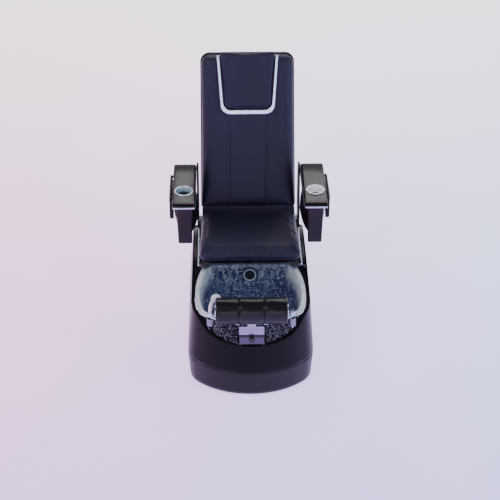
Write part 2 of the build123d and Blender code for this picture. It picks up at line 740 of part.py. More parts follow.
def make_seat_shroud():
    """Black cover around the seat frame, and the low cover behind it over the slides."""
    shroud = shroud_outline() - shroud_outline(inward=4)
    shroud -= block(-260, 260, 386, 480, 480, 540)
    shroud -= block(-260, 260, NOSE_FRONT - 10, NOSE_REAR, 480, NOSE_LOW)
    shroud -= block(-NOSE_HALF - 5, NOSE_HALF + 5, NOSE_FRONT - 10, NOSE_REAR + 6, 524.5, 540)
    cover = rounded_block(-250, 250, 440, REAR_COVER_END, 460, REAR_COVER_TOP, 18)
    cover -= block(-244, 244, 430, REAR_COVER_END - 6, 450, REAR_COVER_TOP - 4)
    cover -= block(-260, 260, 430, 470, 450, 500)
    return [shroud, cover]


def make_seat_trims():
    """Bright strips along both sides of the seat."""
    trim = side_profile([(-20, 519), (360, 519), (360, 535), (-20, 535)], 250, 257)
    return both(trim)


def make_riser():
    """Steel side plate that carries the arm's hinge and the back's hinge."""
    plate = side_profile([(392, SEAT_FRAME_LOW), (466, SEAT_FRAME_LOW), (470, 600), (456, 820),
                          (452, 856), (410, 856), (404, 820), (388, 600)],
                         RISER_IN, RISER_IN + RISER_THICK)
    plate -= rod((240, HINGE_Y, HINGE_Z), (270, HINGE_Y, HINGE_Z), 10)
    plate -= rod((240, ARM_HINGE_Y, ARM_HINGE_Z), (270, ARM_HINGE_Y, ARM_HINGE_Z), 7)
    return plate


def make_riser_cover():
    """Plastic cheek over the side plate."""
    outline = [(384, 500), (474, 500), (478, 600), (464, 822), (450, 866), (412, 866), (396, 822),
               (380, 600)]
    cover = side_profile(outline, RISER_IN + RISER_THICK, RISER_IN + RISER_THICK + 5)
    cover -= rod((240, ARM_HINGE_Y, ARM_HINGE_Z), (270, ARM_HINGE_Y, ARM_HINGE_Z), 9)
    return cover


def make_hinge_pins():
    """Two pins of the back's hinge and two of the arms' hinges."""
    back_pin = rod((222, HINGE_Y, HINGE_Z), (RISER_IN + RISER_THICK, HINGE_Y, HINGE_Z), 10)
    arm_pin = rod((RISER_IN, ARM_HINGE_Y, ARM_HINGE_Z), (272, ARM_HINGE_Y, ARM_HINGE_Z), 7)
    return both(back_pin) + both(arm_pin)


def make_recline_motor():
    """Gear motor on the back's hinge axis, with its bracket down to the seat frame."""
    motor = rod((-110, HINGE_Y, HINGE_Z), (110, HINGE_Y, HINGE_Z), 27)
    motor += rod((-221, HINGE_Y, HINGE_Z), (221, HINGE_Y, HINGE_Z), 8)
    return motor + block(-60, 60, 440, 446, SEAT_FRAME_HIGH, HINGE_Z)


# ---- back, built upright in its own frame ---------------------------------------
def leaned(solid):
    """Carry a piece of the back from its own upright frame to its place on the hinge."""
    return Pos(0, HINGE_Y, HINGE_Z) * Rot(-LEAN, 0, 0) * solid


def back_face(inset=0.0, low=46.0):
    """Outline of the back: slightly tapered with rounded shoulders."""
    half = BACK_HALF - inset
    face = make_face(Polyline((-half - 4, low + inset), (half + 4, low + inset), (half, 500),
                              (half - 1, BACK_TOP - inset), (-half + 1, BACK_TOP - inset),
                              (-half, 500), close=True))
    tops = [v for v in face.vertices() if v.Y > 700]
    lows = [v for v in face.vertices() if v.Y < 200]
    face = fillet(tops, 45 - inset)
    lows = [v for v in face.vertices() if v.Y < 200]
    return fillet(lows, 24 - min(inset, 20) * 0.5)


def back_slab(face, front, rear):
    """Extrude an outline of the back from its front depth to its rear depth."""
    return extrude(Plane.XZ.offset(-front) * face, amount=-(rear - front))


def make_back_cushion():
    return back_slab(back_face(), BACK_FRONT, BACK_FRONT + PAD_DEPTH - 1)


def make_back_shell():
    shell = back_slab(back_face(inset=1.0, low=40), BACK_FRONT + PAD_DEPTH, BACK_REAR)
    rear_edges = [e for e in shell.edges() if abs(e.center().Y - BACK_REAR) < 0.5]
    shell = fillet(rear_edges, 26)
    inner = back_slab(back_face(inset=6.0, low=40), BACK_FRONT + PAD_DEPTH - 5, BACK_REAR - 5)
    inner_edges = [e for e in inner.edges() if abs(e.center().Y - (BACK_REAR - 5)) < 0.5]
    shell -= fillet(inner_edges, 20)
    for side in (-1, 1):
        x0, x1 = sorted((side * 219, side * 233))
        shell -= block(x0, x1, BACK_FRONT + PAD_DEPTH - 2, 64, 20, 70)
    return shell


def make_back_frame():
    """Welded tube frame of the back with its two hinge arms."""
    front = BACK_FRONT + PAD_DEPTH + 2
    frame = square_tube(-206, -181, front, front + 22, 60, 790)
    frame += square_tube(181, 206, front, front + 22, 60, 790)
    for z in (60, 765):
        frame += block(-181, 181, front, front + 22, z, z + 25)
    for side in (-1, 1):
        x0, x1 = sorted((side * 206, side * 222))
        frame += block(x0, x1, front, front + 22, 60, 200)
        x2, x3 = sorted((side * 222, side * 230))
        arm = side_profile([(-20, -20), (20, -20), (52, 20), (front + 22, 60), (front + 22, 200),
                            (front, 200), (front, 43), (-20, 22)], x2, x3)
        frame += arm
    frame -= rod((-240, 0, 0), (-200, 0, 0), 10 + RUNNING_FIT)
    frame -= rod((200, 0, 0), (240, 0, 0), 10 + RUNNING_FIT)
    return frame


def make_massage_rails():
    return both(rod((120, RAIL_DEPTH, 85), (120, RAIL_DEPTH, 765), 6))


def make_massage_carriage():
    """Carriage plate with guide bushes, roller brackets and its drive motor."""
    depth = RAIL_DEPTH
    carriage = block(-140, 140, depth + 16, depth + 22, 200, 280)
    for x in (-120, 120):
        carriage += block(x - 12, x + 12, depth - 11, depth + 18, 215, 265)
        carriage -= rod((x, depth, 190), (x, depth, 290), 6 + RUNNING_FIT)
    for x in (-98, 92):
        carriage += block(x, x + 6, depth - 8, depth + 18, 222, 258)
    carriage -= rod((-100, depth + 2, 240), (100, depth + 2, 240), 5 + RUNNING_FIT)
    return carriage + block(-40, 40, depth + 22, depth + 52, 205, 275)


def make_massage_rollers():
    depth = RAIL_DEPTH + 2
    rollers = rod((-97, depth, 240), (97, depth, 240), 5)
    for x in (-62, -30, 30, 62):
        rollers += rod((x - 9, depth, 240), (x + 9, depth, 240), 12)
    return rollers


def pillow_face(grow=0.0, low=565.0):
    """Tapered head pillow outline with rounded corners."""
    top = BACK_TOP + 12
    face = make_face(Polyline((-119 - grow, low - grow), (119 + grow, low - grow),
                              (142.5 + grow, top), (-142.5 - grow, top), close=True))
    return fillet(face.vertices().filter_by(lambda v: v.Y < 700), 34 + grow)


def make_headrest_pillow():
    pillow = back_slab(pillow_face(), BACK_FRONT - 24, BACK_FRONT)
    front_edges = [e for e in pillow.edges() if abs(e.center().Y - (BACK_FRONT - 24)) < 0.5]
    return fillet(front_edges, 8)


def make_headrest_trim():
    """Bright U-shaped frame around the pillow's sides and bottom."""
    outer = back_slab(pillow_face(grow=16, low=552), BACK_FRONT - 14, BACK_FRONT)
    inner = back_slab(pillow_face(grow=0.5), BACK_FRONT - 20, BACK_FRONT + 5)
    return outer - inner - block(-300, 300, -200, 200, BACK_TOP - 4, BACK_TOP + 200)


# ---- arms -----------------------------------------------------------------------
def slab_top(y):
    """Height of the armrest's flat sloping top."""
    return SLAB_FRONT_TOP + (y - SLAB_FRONT) * math.tan(math.radians(SLAB_SLOPE))


def cup_axis():
    """Plane on the armrest's top at the cup holder's centre, square to the slope."""
    slope = math.radians(SLAB_SLOPE)
    origin = (CUP_X, CUP_Y, slab_top(CUP_Y))
    return Plane(origin=origin, x_dir=(1, 0, 0), z_dir=(0, -math.sin(slope), math.cos(slope)))


def cup_cylinder(radius, low, high):
    """Cylinder on the cup holder's axis, heights measured from the armrest's top."""
    return cup_axis() * Pos(0, 0, (low + high) / 2) * Cylinder(radius, high - low)


def make_armrest():
    """Gloss armrest top with lugs for the folding tray."""
    crown = Spline((230, slab_top(230)), (320, 891), (377, 886), (404, 868),
                   tangents=((1, math.tan(math.radians(SLAB_SLOPE))), (0.4, -1)))
    edges = [Line((SLAB_FRONT, SLAB_LOW + 4), (SLAB_FRONT, slab_top(SLAB_FRONT))),
             Line((SLAB_FRONT, slab_top(SLAB_FRONT)), (230, slab_top(230))),
             crown,
             Line((404, 868), (400, SLAB_LOW + 4)),
             Line((400, SLAB_LOW + 4), (SLAB_FRONT, SLAB_LOW + 4))]
    slab = extrude(Plane.YZ.offset(SLAB_IN) * make_face(edges), amount=SLAB_OUT - SLAB_IN)
    for y0, y1 in ((TRAY_Y0 - 14, TRAY_Y0 - 2), (TRAY_Y1 + 2, TRAY_Y1 + 14)):
        slab += block(SLAB_OUT - 10, TRAY_PIN_X + 6, y0, y1, TRAY_PIN_Z - 5, TRAY_PIN_Z + 6)
        slab -= rod((TRAY_PIN_X, y0 - 1, TRAY_PIN_Z), (TRAY_PIN_X, y1 + 1, TRAY_PIN_Z),
                    3 + RUNNING_FIT)
    return slab - cup_cylinder(CUP_BODY_R + 0.6, -80, 20)


def make_arm_trim():
    """Bright strip under the armrest's front lip."""
    return block(SLAB_IN + 1, SLAB_OUT - 1, SLAB_FRONT - 1, SLAB_FRONT + 12, SLAB_LOW - 4, SLAB_LOW + 4)


def arm_pod_body(shrink=0.0):
    """Boat-shaped body of the arm with its tapering front post, optionally smaller all round."""
    # height, half width, front end and rear end of each level
    levels = [(853, 34, -6, 320), (800, 52, -2, 356), (735, 60, 2, 332), (690, 48, 10, 276),
              (664, 26, 22, 202)]
    faces = []
    for height, half_x, front, rear in levels:
        outline = Ellipse(half_x - shrink, (rear - front) / 2 - shrink)
        faces.append(Pos(310, (front + rear) / 2, height) * outline)
    pod = loft(faces)
    low = Pos(315.5, -4, 648) * Rectangle(67 - 2 * shrink, 26 - 2 * shrink)
    high = Pos(316.5, -8, 853) * Rectangle(79 - 2 * shrink, 30 - 2 * shrink)
    pod += loft([low, high], ruled=True)
    return pod & block(249, 372, -40, 400, 640 + 4 * shrink, SLAB_LOW + 4 - shrink)


def make_arm_pod():
    """Hollow moulded lower part of the arm."""
    pod = arm_pod_body() - arm_pod_body(shrink=4)
    pod -= block(249, 380, -40, SLAB_FRONT + 12, SLAB_LOW - 4, SLAB_LOW + 5)
    pod -= cup_cylinder(CUP_BODY_R + 1.5, -CUP_DEPTH - 8, 20)
    pod -= block(240, 270.5, 40, 480, 800, 900)
    pieces = sorted(pod.solids(), key=lambda piece: piece.volume)
    return pieces[-1]


def make_arm_bracket():
    """Steel arm from the hinge forward into the pod."""
    bracket = side_profile([(60, 806), (400, 806), (446, 824), (446, 846), (60, 843)], 263, 269)
    bracket -= rod((255, ARM_HINGE_Y, ARM_HINGE_Z), (280, ARM_HINGE_Y, ARM_HINGE_Z), 7 + RUNNING_FIT)
    return bracket + block(263, 269, 290, 400, 840, SLAB_LOW + 4)


def make_cup_holder():
    cup = cup_cylinder(CUP_RING_R, 0, 4) + cup_cylinder(CUP_BODY_R, -CUP_DEPTH, 1)
    return cup - cup_cylinder(CUP_BODY_R - 2.5, -CUP_DEPTH + 3, 10)


def make_finger_bowl():
    """Scalloped finger bowl that lifts out of the armrest."""
    bowl = cup_cylinder(CUP_RING_R + 1, 0.3, 6) + cup_cylinder(CUP_BODY_R - 1, -34, 4)
    bowl -= cup_cylinder(CUP_BODY_R - 4, -31, 10)
    for angle in range(0, 360, 45):
        notch = cup_axis() * Rot(0, 0, angle) * Pos(CUP_RING_R + 4, 0, 5) * Cylinder(6, 12)
        bowl -= notch
    return bowl


def make_tray():
    """Folding side tray, thinner at its barrel, with a trunnion at each end."""
    plate = block(TRAY_IN, TRAY_OUT, TRAY_Y0, TRAY_Y1, TRAY_LOW, TRAY_SHOULDER)
    plate = fillet(plate.edges().filter_by(Axis.X).group_by(Axis.Z)[0], 24)
    plate += block(TRAY_PIN_X - 7, TRAY_OUT, TRAY_Y0, TRAY_Y1, TRAY_SHOULDER, TRAY_PIN_Z)
    plate += rod((TRAY_PIN_X, TRAY_Y0, TRAY_PIN_Z), (TRAY_PIN_X, TRAY_Y1, TRAY_PIN_Z), 7)
    return plate + rod((TRAY_PIN_X, TRAY_Y0 - 14, TRAY_PIN_Z), (TRAY_PIN_X, TRAY_Y1 + 14, TRAY_PIN_Z), 3)


def collect_parts():
    """Every node of the chair by name."""
    parts = {
        "base_frame": make_base_frame(),
        "leveling_feet": make_feet(),
        "base_skirt": make_base_skirt(),
        "base_shell": make_base_shell(),
        "base_deck": make_base_deck(),
        "rear_panel": make_rear_panel(),
        "fasteners": make_fasteners(),
        "glass_bowl": make_glass_bowl(),
        "bowl_apron": make_bowl_apron(),
        "bowl_gaskets": make_bowl_gaskets(),
        "drain_strainer": make_drain_strainer(),
        "drain_plug": make_drain_plug(),
        "drain_pipe": make_drain_pipe(),
        "jet_housing": make_jet_housing(),
        "jet_cap": make_jet_cap(),
        "jet_impeller": make_jet_impeller(),
        "jet_motor": make_jet_motor(),
        "mixer_valve": make_mixer(),
        "mixer_knob": make_mixer_knob(),
        "shower_holder": make_shower_holder(),
        "shower_head": make_shower_head(),
        "water_inlets": make_water_inlets(),
        "control_box": make_control_box(),
        "power_inlet": make_power_inlet(),
        "jet_button": make_jet_button(),
        "footrest_track": make_footrest_track(),
        "footrest_carrier": make_footrest_carrier(),
        "footrest_bar": make_footrest_bar(),
        "footrest_pads": make_footrest_pads(),
        "footrest_knob": make_footrest_knob(),
        "slide_rails": make_slide_rails(),
        "slide_actuator": make_slide_actuator(),
        "seat_frame": make_seat_frame(),
        "seat_cushion": make_seat_cushion(),
        "seat_shroud": make_seat_shroud(),
        "seat_trims": make_seat_trims(),
        "riser_plates": both(make_riser()),
        "riser_covers": both(make_riser_cover()),
        "hinge_pins": make_hinge_pins(),
        "recline_motor": make_recline_motor(),
        "back_cushion": leaned(make_back_cushion()),
        "back_shell": leaned(make_back_shell()),
        "back_frame": leaned(make_back_frame()),
        "massage_rails": [leaned(rail) for rail in make_massage_rails()],
        "massage_carriage": leaned(make_massage_carriage()),
        "massage_rollers": leaned(make_massage_rollers()),
        "headrest_pillow": leaned(make_headrest_pillow()),
        "headrest_trim": leaned(make_headrest_trim()),
    }
    arm_pieces = {
        "armrest": make_armrest(),
        "arm_pod": make_arm_pod(),
        "arm_bracket": make_arm_bracket(),
        "arm_trim": make_arm_trim(),
        "side_tray": make_tray(),
    }
    for name, piece in arm_pieces.items():
        parts[name + "_right"] = piece
        parts[name + "_left"] = mirrored(piece)
    parts["cup_holder"] = mirrored(make_cup_holder())
    parts["finger_bowl"] = make_finger_bowl()
    return parts


def save(name, shape):
    """Write one node, moved so that the chair's box is centred on the origin."""
    solids = shape if isinstance(shape, list) else [shape]
    pieces = []
    for solid in solids:
        pieces.extend((Pos(0, -CENTRE_Y, 0) * solid).solids())
    body = pieces[0] if len(pieces) == 1 else Compound(children=pieces)
    export_step(body, os.path.join("parts", name + ".step"))
    return body.bounding_box()


def main():
    os.makedirs("parts", exist_ok=True)
    for name, shape in collect_parts().items():
        bounds = save(name, shape)
        print(name, [round(v) for v in (*bounds.min, *bounds.max)])


main()
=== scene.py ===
import math
import random

import bmesh
import bpy
import numpy as np
from mathutils import Matrix, Vector
from mathutils.bvhtree import BVHTree


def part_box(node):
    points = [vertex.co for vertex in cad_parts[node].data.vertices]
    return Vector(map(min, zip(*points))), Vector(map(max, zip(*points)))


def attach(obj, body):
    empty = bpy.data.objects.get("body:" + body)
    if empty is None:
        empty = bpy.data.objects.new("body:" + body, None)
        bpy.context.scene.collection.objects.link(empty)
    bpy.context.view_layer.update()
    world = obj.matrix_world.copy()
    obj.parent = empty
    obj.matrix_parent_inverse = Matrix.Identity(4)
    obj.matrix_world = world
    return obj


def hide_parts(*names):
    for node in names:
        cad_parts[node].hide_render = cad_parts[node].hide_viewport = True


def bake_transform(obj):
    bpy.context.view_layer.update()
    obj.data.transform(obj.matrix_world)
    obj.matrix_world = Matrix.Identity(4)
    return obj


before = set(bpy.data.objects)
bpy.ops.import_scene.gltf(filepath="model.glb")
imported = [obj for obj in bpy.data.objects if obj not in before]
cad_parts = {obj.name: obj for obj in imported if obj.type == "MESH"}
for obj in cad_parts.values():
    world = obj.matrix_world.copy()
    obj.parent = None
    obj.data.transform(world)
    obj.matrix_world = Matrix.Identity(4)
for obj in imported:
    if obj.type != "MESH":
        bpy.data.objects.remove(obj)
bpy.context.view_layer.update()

# Pedicure spa chair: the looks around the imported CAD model.
# All sizes are metres. X runs to the right seen from the front, Y to the rear and Z up.
# The CAD layout measures Y from the seat's front, CENTRE_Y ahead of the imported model's origin.

CENTRE_Y = 0.176

# Base: (height, half width, front) where the shell and the skirt start and end.
SHELL_LOW = (0.140, 0.3098, -0.3979)
SHELL_HIGH = (0.520, 0.283, -0.388)
SKIRT_LOW = (0.012, 0.300, -0.385)
SKIRT_HIGH = (0.137, 0.310, -0.398)
BASE_REAR = 0.560
BASE_CORNER = -0.223
REAR_RADIUS = 0.070
RIM_CURVE = ((-0.420, 0.285), (-0.385, 0.297), (-0.330, 0.325), (-0.280, 0.380), (-0.150, 0.432),
             (0.0, 0.468), (0.120, 0.498), (0.330, 0.503), (0.450, 0.480), (0.600, 0.436))

# Foot bowl: half widths and places of its rear edge, bulge, front corner, nose start and tip.
RIM_HALF = (0.222, 0.270, 0.247, 0.208)
RIM_PLACE = (0.100, -0.160, -0.290, -0.298, -0.366)
FLOOR_HALF = (0.172, 0.212, 0.190, 0.168)
FLOOR_PLACE = (0.062, -0.150, -0.262, -0.268, -0.340)
RIM_SLOPE = math.tan(math.radians(9.6))
RIM_REAR_Z = 0.475
BOWL_LOW = 0.270
GLASS = 0.008
RIM_WIDTH = 0.022
# The floor of the basin shrinks towards this place, which it reaches at this much inset.
FLOOR_MIDDLE, FLOOR_REACH = -0.14, 0.20
JET, JET_LEAN = (0, 0.0713, 0.420), math.radians(6.9)
DRAIN = (0, -0.060, 0.278)

# Back: its hinge, its lean and its levels along the back (v) and through it (w).
HINGE = Vector((0, 0.420 - CENTRE_Y, 0.560))
LEAN = math.radians(16.5)
BACK_FRONT = -0.036
BACK_REAR = 0.118
BACK_TOP = 0.842
PAD_DEPTH = 0.070
BACK_SEAM_X = 0.093

# Arms: the top slab's slope and the place of the cup and of the tray's barrel.
SLAB_IN, SLAB_OUT = 0.265, 0.374
SLAB_FRONT, SLAB_FRONT_TOP = -0.030, 0.867
SLAB_LOW = 0.852
PAN_TOP = 0.540
SLAB_SLOPE = math.radians(4.5)
CUP = (0.3207, 0.097)
CUP_RING, CUP_BODY, CUP_DEPTH = 0.0465, 0.039, 0.052
TRAY_X, TRAY_Z, TRAY_FRONT, TRAY_REAR, TRAY_LOW = 0.385, 0.857, 0.080, 0.290, 0.722
TRAY_LUG = 0.014
TRAY_IN, TRAY_OUT, TRAY_SHOULDER = 0.372, 0.392, 0.845

# Belly in front of the bowl: (centre, radius) of its lower and upper arcs, and its sides.
APRON_LOW, APRON_HIGH, APRON_LOW_Z = (-0.063, 0.318), (-0.014, 0.348), 0.284
APRON_FOOT, APRON_WALL = 0.2958, 0.004
APRON_DROP, APRON_IN, APRON_OUT = 0.0094, 0.0665, 0.2055
FITTING = (0.197, -0.296)
TOWER_OUT, TOWER_IN = 0.018, 0.014

# Foot rest roll.
REST = Vector((0, -0.358 - CENTRE_Y, 0.470))
REST_R, REST_HALF, REST_SEAM = 0.066, 0.171, 0.060


def at(x, y, z):
    """A point of the CAD layout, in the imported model's frame."""
    return Vector((x, y - CENTRE_Y, z))


def unit(value):
    """A value held between 0 and 1."""
    return min(1.0, max(0.0, value))


def turns(count):
    """Equal angles around a full turn."""
    return [2 * math.pi * k / count for k in range(count)]


# ---- materials ----------------------------------------------------------------
class Look:
    """A node material under construction: a Principled shader and short ways to wire it."""

    def __init__(self, name, **values):
        self.material = bpy.data.materials.new(name)
        self.material.use_nodes = True
        self.tree = self.material.node_tree
        self.shader = next(n for n in self.tree.nodes if n.type == "BSDF_PRINCIPLED")
        self.place = self.node("ShaderNodeTexCoord").outputs["Object"]
        for socket, value in values.items():
            self.shader.inputs[socket.replace("_", " ")].default_value = value

    def node(self, kind, **values):
        made = self.tree.nodes.new(kind)
        for key, value in values.items():
            if key in made.inputs:
                made.inputs[key].default_value = value
            else:
                setattr(made, key, value)
        return made

    def wire(self, source, target):
        self.tree.links.new(source, target)

    def stretched(self, scale):
        """The piece's own coordinates, stretched by a factor along each axis."""
        mapping = self.node("ShaderNodeMapping")
        mapping.inputs["Scale"].default_value = scale
        self.wire(self.place, mapping.inputs["Vector"])
        return mapping.outputs["Vector"]

    def noise(self, scale, detail=4.0, roughness=0.5, place=None):
        made = self.node("ShaderNodeTexNoise", Scale=scale, Detail=detail, Roughness=roughness)
        self.wire(place or self.place, made.inputs["Vector"])
        return made.outputs["Fac"]

    def cells(self, scale, feature="F1", place=None):
        made = self.node("ShaderNodeTexVoronoi", Scale=scale, feature=feature)
        self.wire(place or self.place, made.inputs["Vector"])
        return made.outputs["Distance"]

    def spread(self, value, low, high, start=0.3, end=0.7):
        """A value between start and end, spread to lie between low and high."""
        made = self.node("ShaderNodeMapRange")
        for socket, number in zip(("From Min", "From Max", "To Min", "To Max"), (start, end, low, high)):
            made.inputs[socket].default_value = number
        self.wire(value, made.inputs["Value"])
        return made.outputs["Result"]

    def ramp(self, value, stops):
        made = self.node("ShaderNodeValToRGB")
        band = made.color_ramp
        while len(band.elements) < len(stops):
            band.elements.new(0.5)
        for element, (position, colour) in zip(band.elements, stops):
            element.position = position
            element.color = (*colour, 1.0)
        self.wire(value, made.inputs["Fac"])
        return made.outputs["Color"]

    def mix(self, share, first, second):
        """Mix of two colours, each a colour value or the output of another node."""
        made = self.node("ShaderNodeMix", data_type="RGBA")
        self.wire(share, made.inputs[0])
        for socket, colour in ((made.inputs[6], first), (made.inputs[7], second)):
            if hasattr(colour, "links"):
                self.wire(colour, socket)
            else:
                socket.default_value = (*colour, 1.0)
        return made.outputs[2]

    def sum(self, first, second, share=1.0):
        made = self.node("ShaderNodeMath", operation="MULTIPLY_ADD")
        self.wire(second, made.inputs[0])
        made.inputs[1].default_value = share
        self.wire(first, made.inputs[2])
        return made.outputs["Value"]

    def edges(self):
        """Near 1 along convex edges and 0 elsewhere, where a finish wears first."""
        pointed = self.node("ShaderNodeNewGeometry").outputs["Pointiness"]
        return self.spread(pointed, 0.0, 1.0, 0.53, 0.60)

    def colour(self, output):
        self.wire(output, self.shader.inputs["Base Color"])

    def roughness(self, output):
        self.wire(output, self.shader.inputs["Roughness"])

    def bump(self, height, strength, distance):
        made = self.node("ShaderNodeBump", Strength=strength, Distance=distance)
        self.wire(height, made.inputs["Height"])
        self.wire(made.outputs["Normal"], self.shader.inputs["Normal"])


def shaded(colour, factor):
    """A colour made darker or paler."""
    return tuple(min(1.0, channel * factor) for channel in colour)


def leather(name, colour, grain=520.0, shine=(0.40, 0.52), spec=0.26):
    """Upholstery vinyl: pebbled grain in two sizes, fine creases and a slowly changing tone."""
    look = Look(name, Specular_IOR_Level=spec, Sheen_Weight=0.08, Sheen_Roughness=0.4)
    look.shader.inputs["Sheen Tint"].default_value = (0.55, 0.62, 0.9, 1)
    broad = look.noise(3.2, 3.0, 0.55)
    fine = look.noise(46.0, 5.0, 0.6)
    pebbles = look.cells(grain, "SMOOTH_F1")
    pores = look.cells(grain * 2.3, "DISTANCE_TO_EDGE")
    tone = look.ramp(look.sum(broad, fine, 0.35),
                     ((0.35, shaded(colour, 0.82)), (0.62, colour), (0.9, shaded(colour, 1.25))))
    look.colour(look.mix(look.edges(), tone, shaded(colour, 1.6)))
    look.roughness(look.spread(look.sum(broad, pebbles, 0.3), *shine))
    height = look.sum(look.sum(pebbles, pores, 0.45), fine, 0.5)
    look.bump(height, 0.32, 0.0005)
    return look.material


def moulded(name, colour, shine, peel=260.0, coat=0.3, wear=None, spec=0.35):
    """Glossy moulded or lacquered surface: orange peel, faint rubbing marks and paler edges."""
    look = Look(name, Coat_Weight=coat, Coat_Roughness=0.06, Specular_IOR_Level=spec)
    broad = look.noise(2.4, 3.0, 0.5)
    skin = look.noise(peel, 2.0, 0.4)
    scuffs = look.noise(38.0, 8.0, 0.7, look.stretched((1, 1, 0.16)))
    tone = look.ramp(broad, ((0.3, shaded(colour, 0.8)), (0.7, shaded(colour, 1.2))))
    look.colour(look.mix(look.edges(), tone, wear or shaded(colour, 2.4)))
    look.roughness(look.spread(look.sum(broad, scuffs, 0.6), *shine, 0.5, 1.1))
    look.bump(skin, 0.06, 0.0006)
    return look.material


def metal(name, colour, shine, brushed=None, coat=0.0):
    """Metal: polished with faint water marks, or brushed along one axis."""
    look = Look(name, Metallic=1.0, Coat_Weight=coat)
    place = look.stretched(brushed) if brushed else look.place
    grain = look.noise(150.0, 6.0, 0.65, place)
    marks = look.noise(7.0, 5.0, 0.6)
    tone = look.ramp(look.sum(marks, grain, 0.4),
                     ((0.4, shaded(colour, 0.86)), (0.9, shaded(colour, 1.06))))
    look.colour(look.mix(look.edges(), tone, shaded(colour, 1.15)))
    look.roughness(look.spread(look.sum(marks, grain, 0.5), *shine, 0.45, 1.0))
    look.bump(grain, 0.05, 0.0003)
    return look.material


def plastic(name, colour, shine, texture=900.0):
    """Fine-textured moulded plastic, rubber or powder coat."""
    look = Look(name, Specular_IOR_Level=0.45)
    spark = look.cells(texture)
    broad = look.noise(9.0, 5.0, 0.6)
    tone = look.ramp(broad, ((0.3, shaded(colour, 0.8)), (0.7, shaded(colour, 1.25))))
    look.colour(look.mix(look.edges(), tone, shaded(colour, 2.0)))
    look.roughness(look.spread(broad, *shine))
    look.bump(look.sum(spark, broad, 0.4), 0.22, 0.0003)
    return look.material


def bowl_look():
    """Basin: rim and upper side walls painted pale as a painted reflection of light in the glass, deepening
    to slate blue at the rear and the floor.
    """
    look = Look("bowl_glass_look", Coat_Weight=0.4, Coat_Roughness=0.05, Specular_IOR_Level=0.4)
    pale = look.node("ShaderNodeAttribute", attribute_name="pale").outputs["Fac"]
    clouds = look.noise(11.0, 5.0, 0.6)
    ripples = look.noise(34.0, 4.0, 0.55, look.stretched((1, 0.35, 1)))
    deep = look.ramp(clouds, ((0.3, (0.034, 0.044, 0.120)), (0.5, (0.048, 0.066, 0.155)),
                              (0.7, (0.070, 0.098, 0.200))))
    # Painted reflection: pale clouded colour laid on the rim and side walls wherever the pale attribute is
    # high.
    painted_glass_reflection = look.ramp(look.sum(clouds, ripples, 0.5),
                      ((0.4, (0.42, 0.58, 0.72)), (0.75, (0.70, 0.80, 0.86)), (0.95, (0.85, 0.90, 0.92))))
    look.colour(look.mix(pale, deep, painted_glass_reflection))
    look.roughness(look.spread(ripples, 0.22, 0.36))
    look.bump(look.sum(ripples, clouds, 0.4), 0.12, 0.002)
    return look.material


def floor_look():
    """Pale studio floor with painted light: it glows by emission and is coloured lighter behind than in
    front, warmer behind and to the left, cooler in front and to the right.
    """
    look = Look("floor_look", Roughness=0.9, Specular_IOR_Level=0.1)
    axes = look.node("ShaderNodeSeparateXYZ")
    look.wire(look.place, axes.inputs[0])
    depth = look.spread(axes.outputs["Y"], 0.0, 1.0, -3.2, 5.0)
    side = look.spread(axes.outputs["X"], 0.0, 1.0, -1.4, 1.4)
    left = look.ramp(depth, ((0.0, (0.54, 0.42, 0.72)), (0.45, (0.84, 0.58, 0.82)),
                             (1.0, (1.0, 0.90, 0.94))))
    right = look.ramp(depth, ((0.0, (0.48, 0.46, 0.76)), (0.45, (0.66, 0.68, 0.92)),
                              (1.0, (0.96, 0.90, 0.97))))
    blend = look.mix(side, left, right)
    tone = look.mix(look.spread(look.noise(1.5, 3.0), 0.0, 0.03), blend, (1.0, 1.0, 1.0))
    # Painted glow: the floor's colour, more saturated, fed to emission so the floor shines without a lamp.
    painted_glow_colour = look.node("ShaderNodeHueSaturation", Saturation=1.6)
    look.wire(tone, painted_glow_colour.inputs["Color"])
    look.colour(tone)
    look.wire(painted_glow_colour.outputs["Color"], look.shader.inputs["Emission Color"])
    look.shader.inputs["Emission Strength"].default_value = FLOOR_GLOW
    return look.material


NAVY = (0.0118, 0.0108, 0.0290)
FLOOR_GLOW = 1.9
LOOKS = {
    "upholstery": leather("upholstery_look", NAVY),
    "footrest_vinyl": leather("footrest_vinyl_look", (0.0035, 0.0035, 0.0050), 700.0, (0.17, 0.27), 0.28),
    "gloss_black": moulded("gloss_black_look", (0.0036, 0.0032, 0.0050), (0.20, 0.34), coat=0.02, spec=0.10),
    # The skirt is coloured lighter than the shell above it: painted reflection of the floor in its gloss.
    "gloss_skirt": moulded("gloss_skirt_look", (0.013, 0.012, 0.016), (0.28, 0.44), coat=0.03, spec=0.16),
    "arm_gloss": moulded("arm_gloss_look", (0.0065, 0.0034, 0.0050), (0.16, 0.28), coat=0.10, spec=0.18),
    "bowl_glass": bowl_look(),
    "chrome": metal("chrome_look", (0.56, 0.58, 0.72), (0.10, 0.20)),
    "satin_metal": metal("satin_metal_look", (0.58, 0.66, 0.76), (0.20, 0.32), brushed=(1, 1, 12)),
    "frame_paint": plastic("frame_paint_look", (0.030, 0.030, 0.034), (0.38, 0.52), 500.0),
    "bare_steel": metal("bare_steel_look", (0.52, 0.53, 0.55), (0.24, 0.40), brushed=(10, 1, 1)),
    "black_plastic": plastic("black_plastic_look", (0.010, 0.010, 0.012), (0.34, 0.50)),
    "white_plastic": moulded("white_plastic_look", (0.80, 0.84, 0.90), (0.14, 0.26), wear=(0.92, 0.93, 0.95)),
    "rubber": plastic("rubber_look", (0.012, 0.012, 0.013), (0.60, 0.78), 1200.0),
    "brass": metal("brass_look", (0.70, 0.52, 0.25), (0.22, 0.38), brushed=(1, 8, 1)),
}
THREAD = plastic("thread_look", (0.014, 0.016, 0.036), (0.55, 0.70), 1800.0)
VINE = moulded("vine_look", (0.30, 0.42, 0.56), (0.18, 0.30), wear=(0.55, 0.66, 0.78))
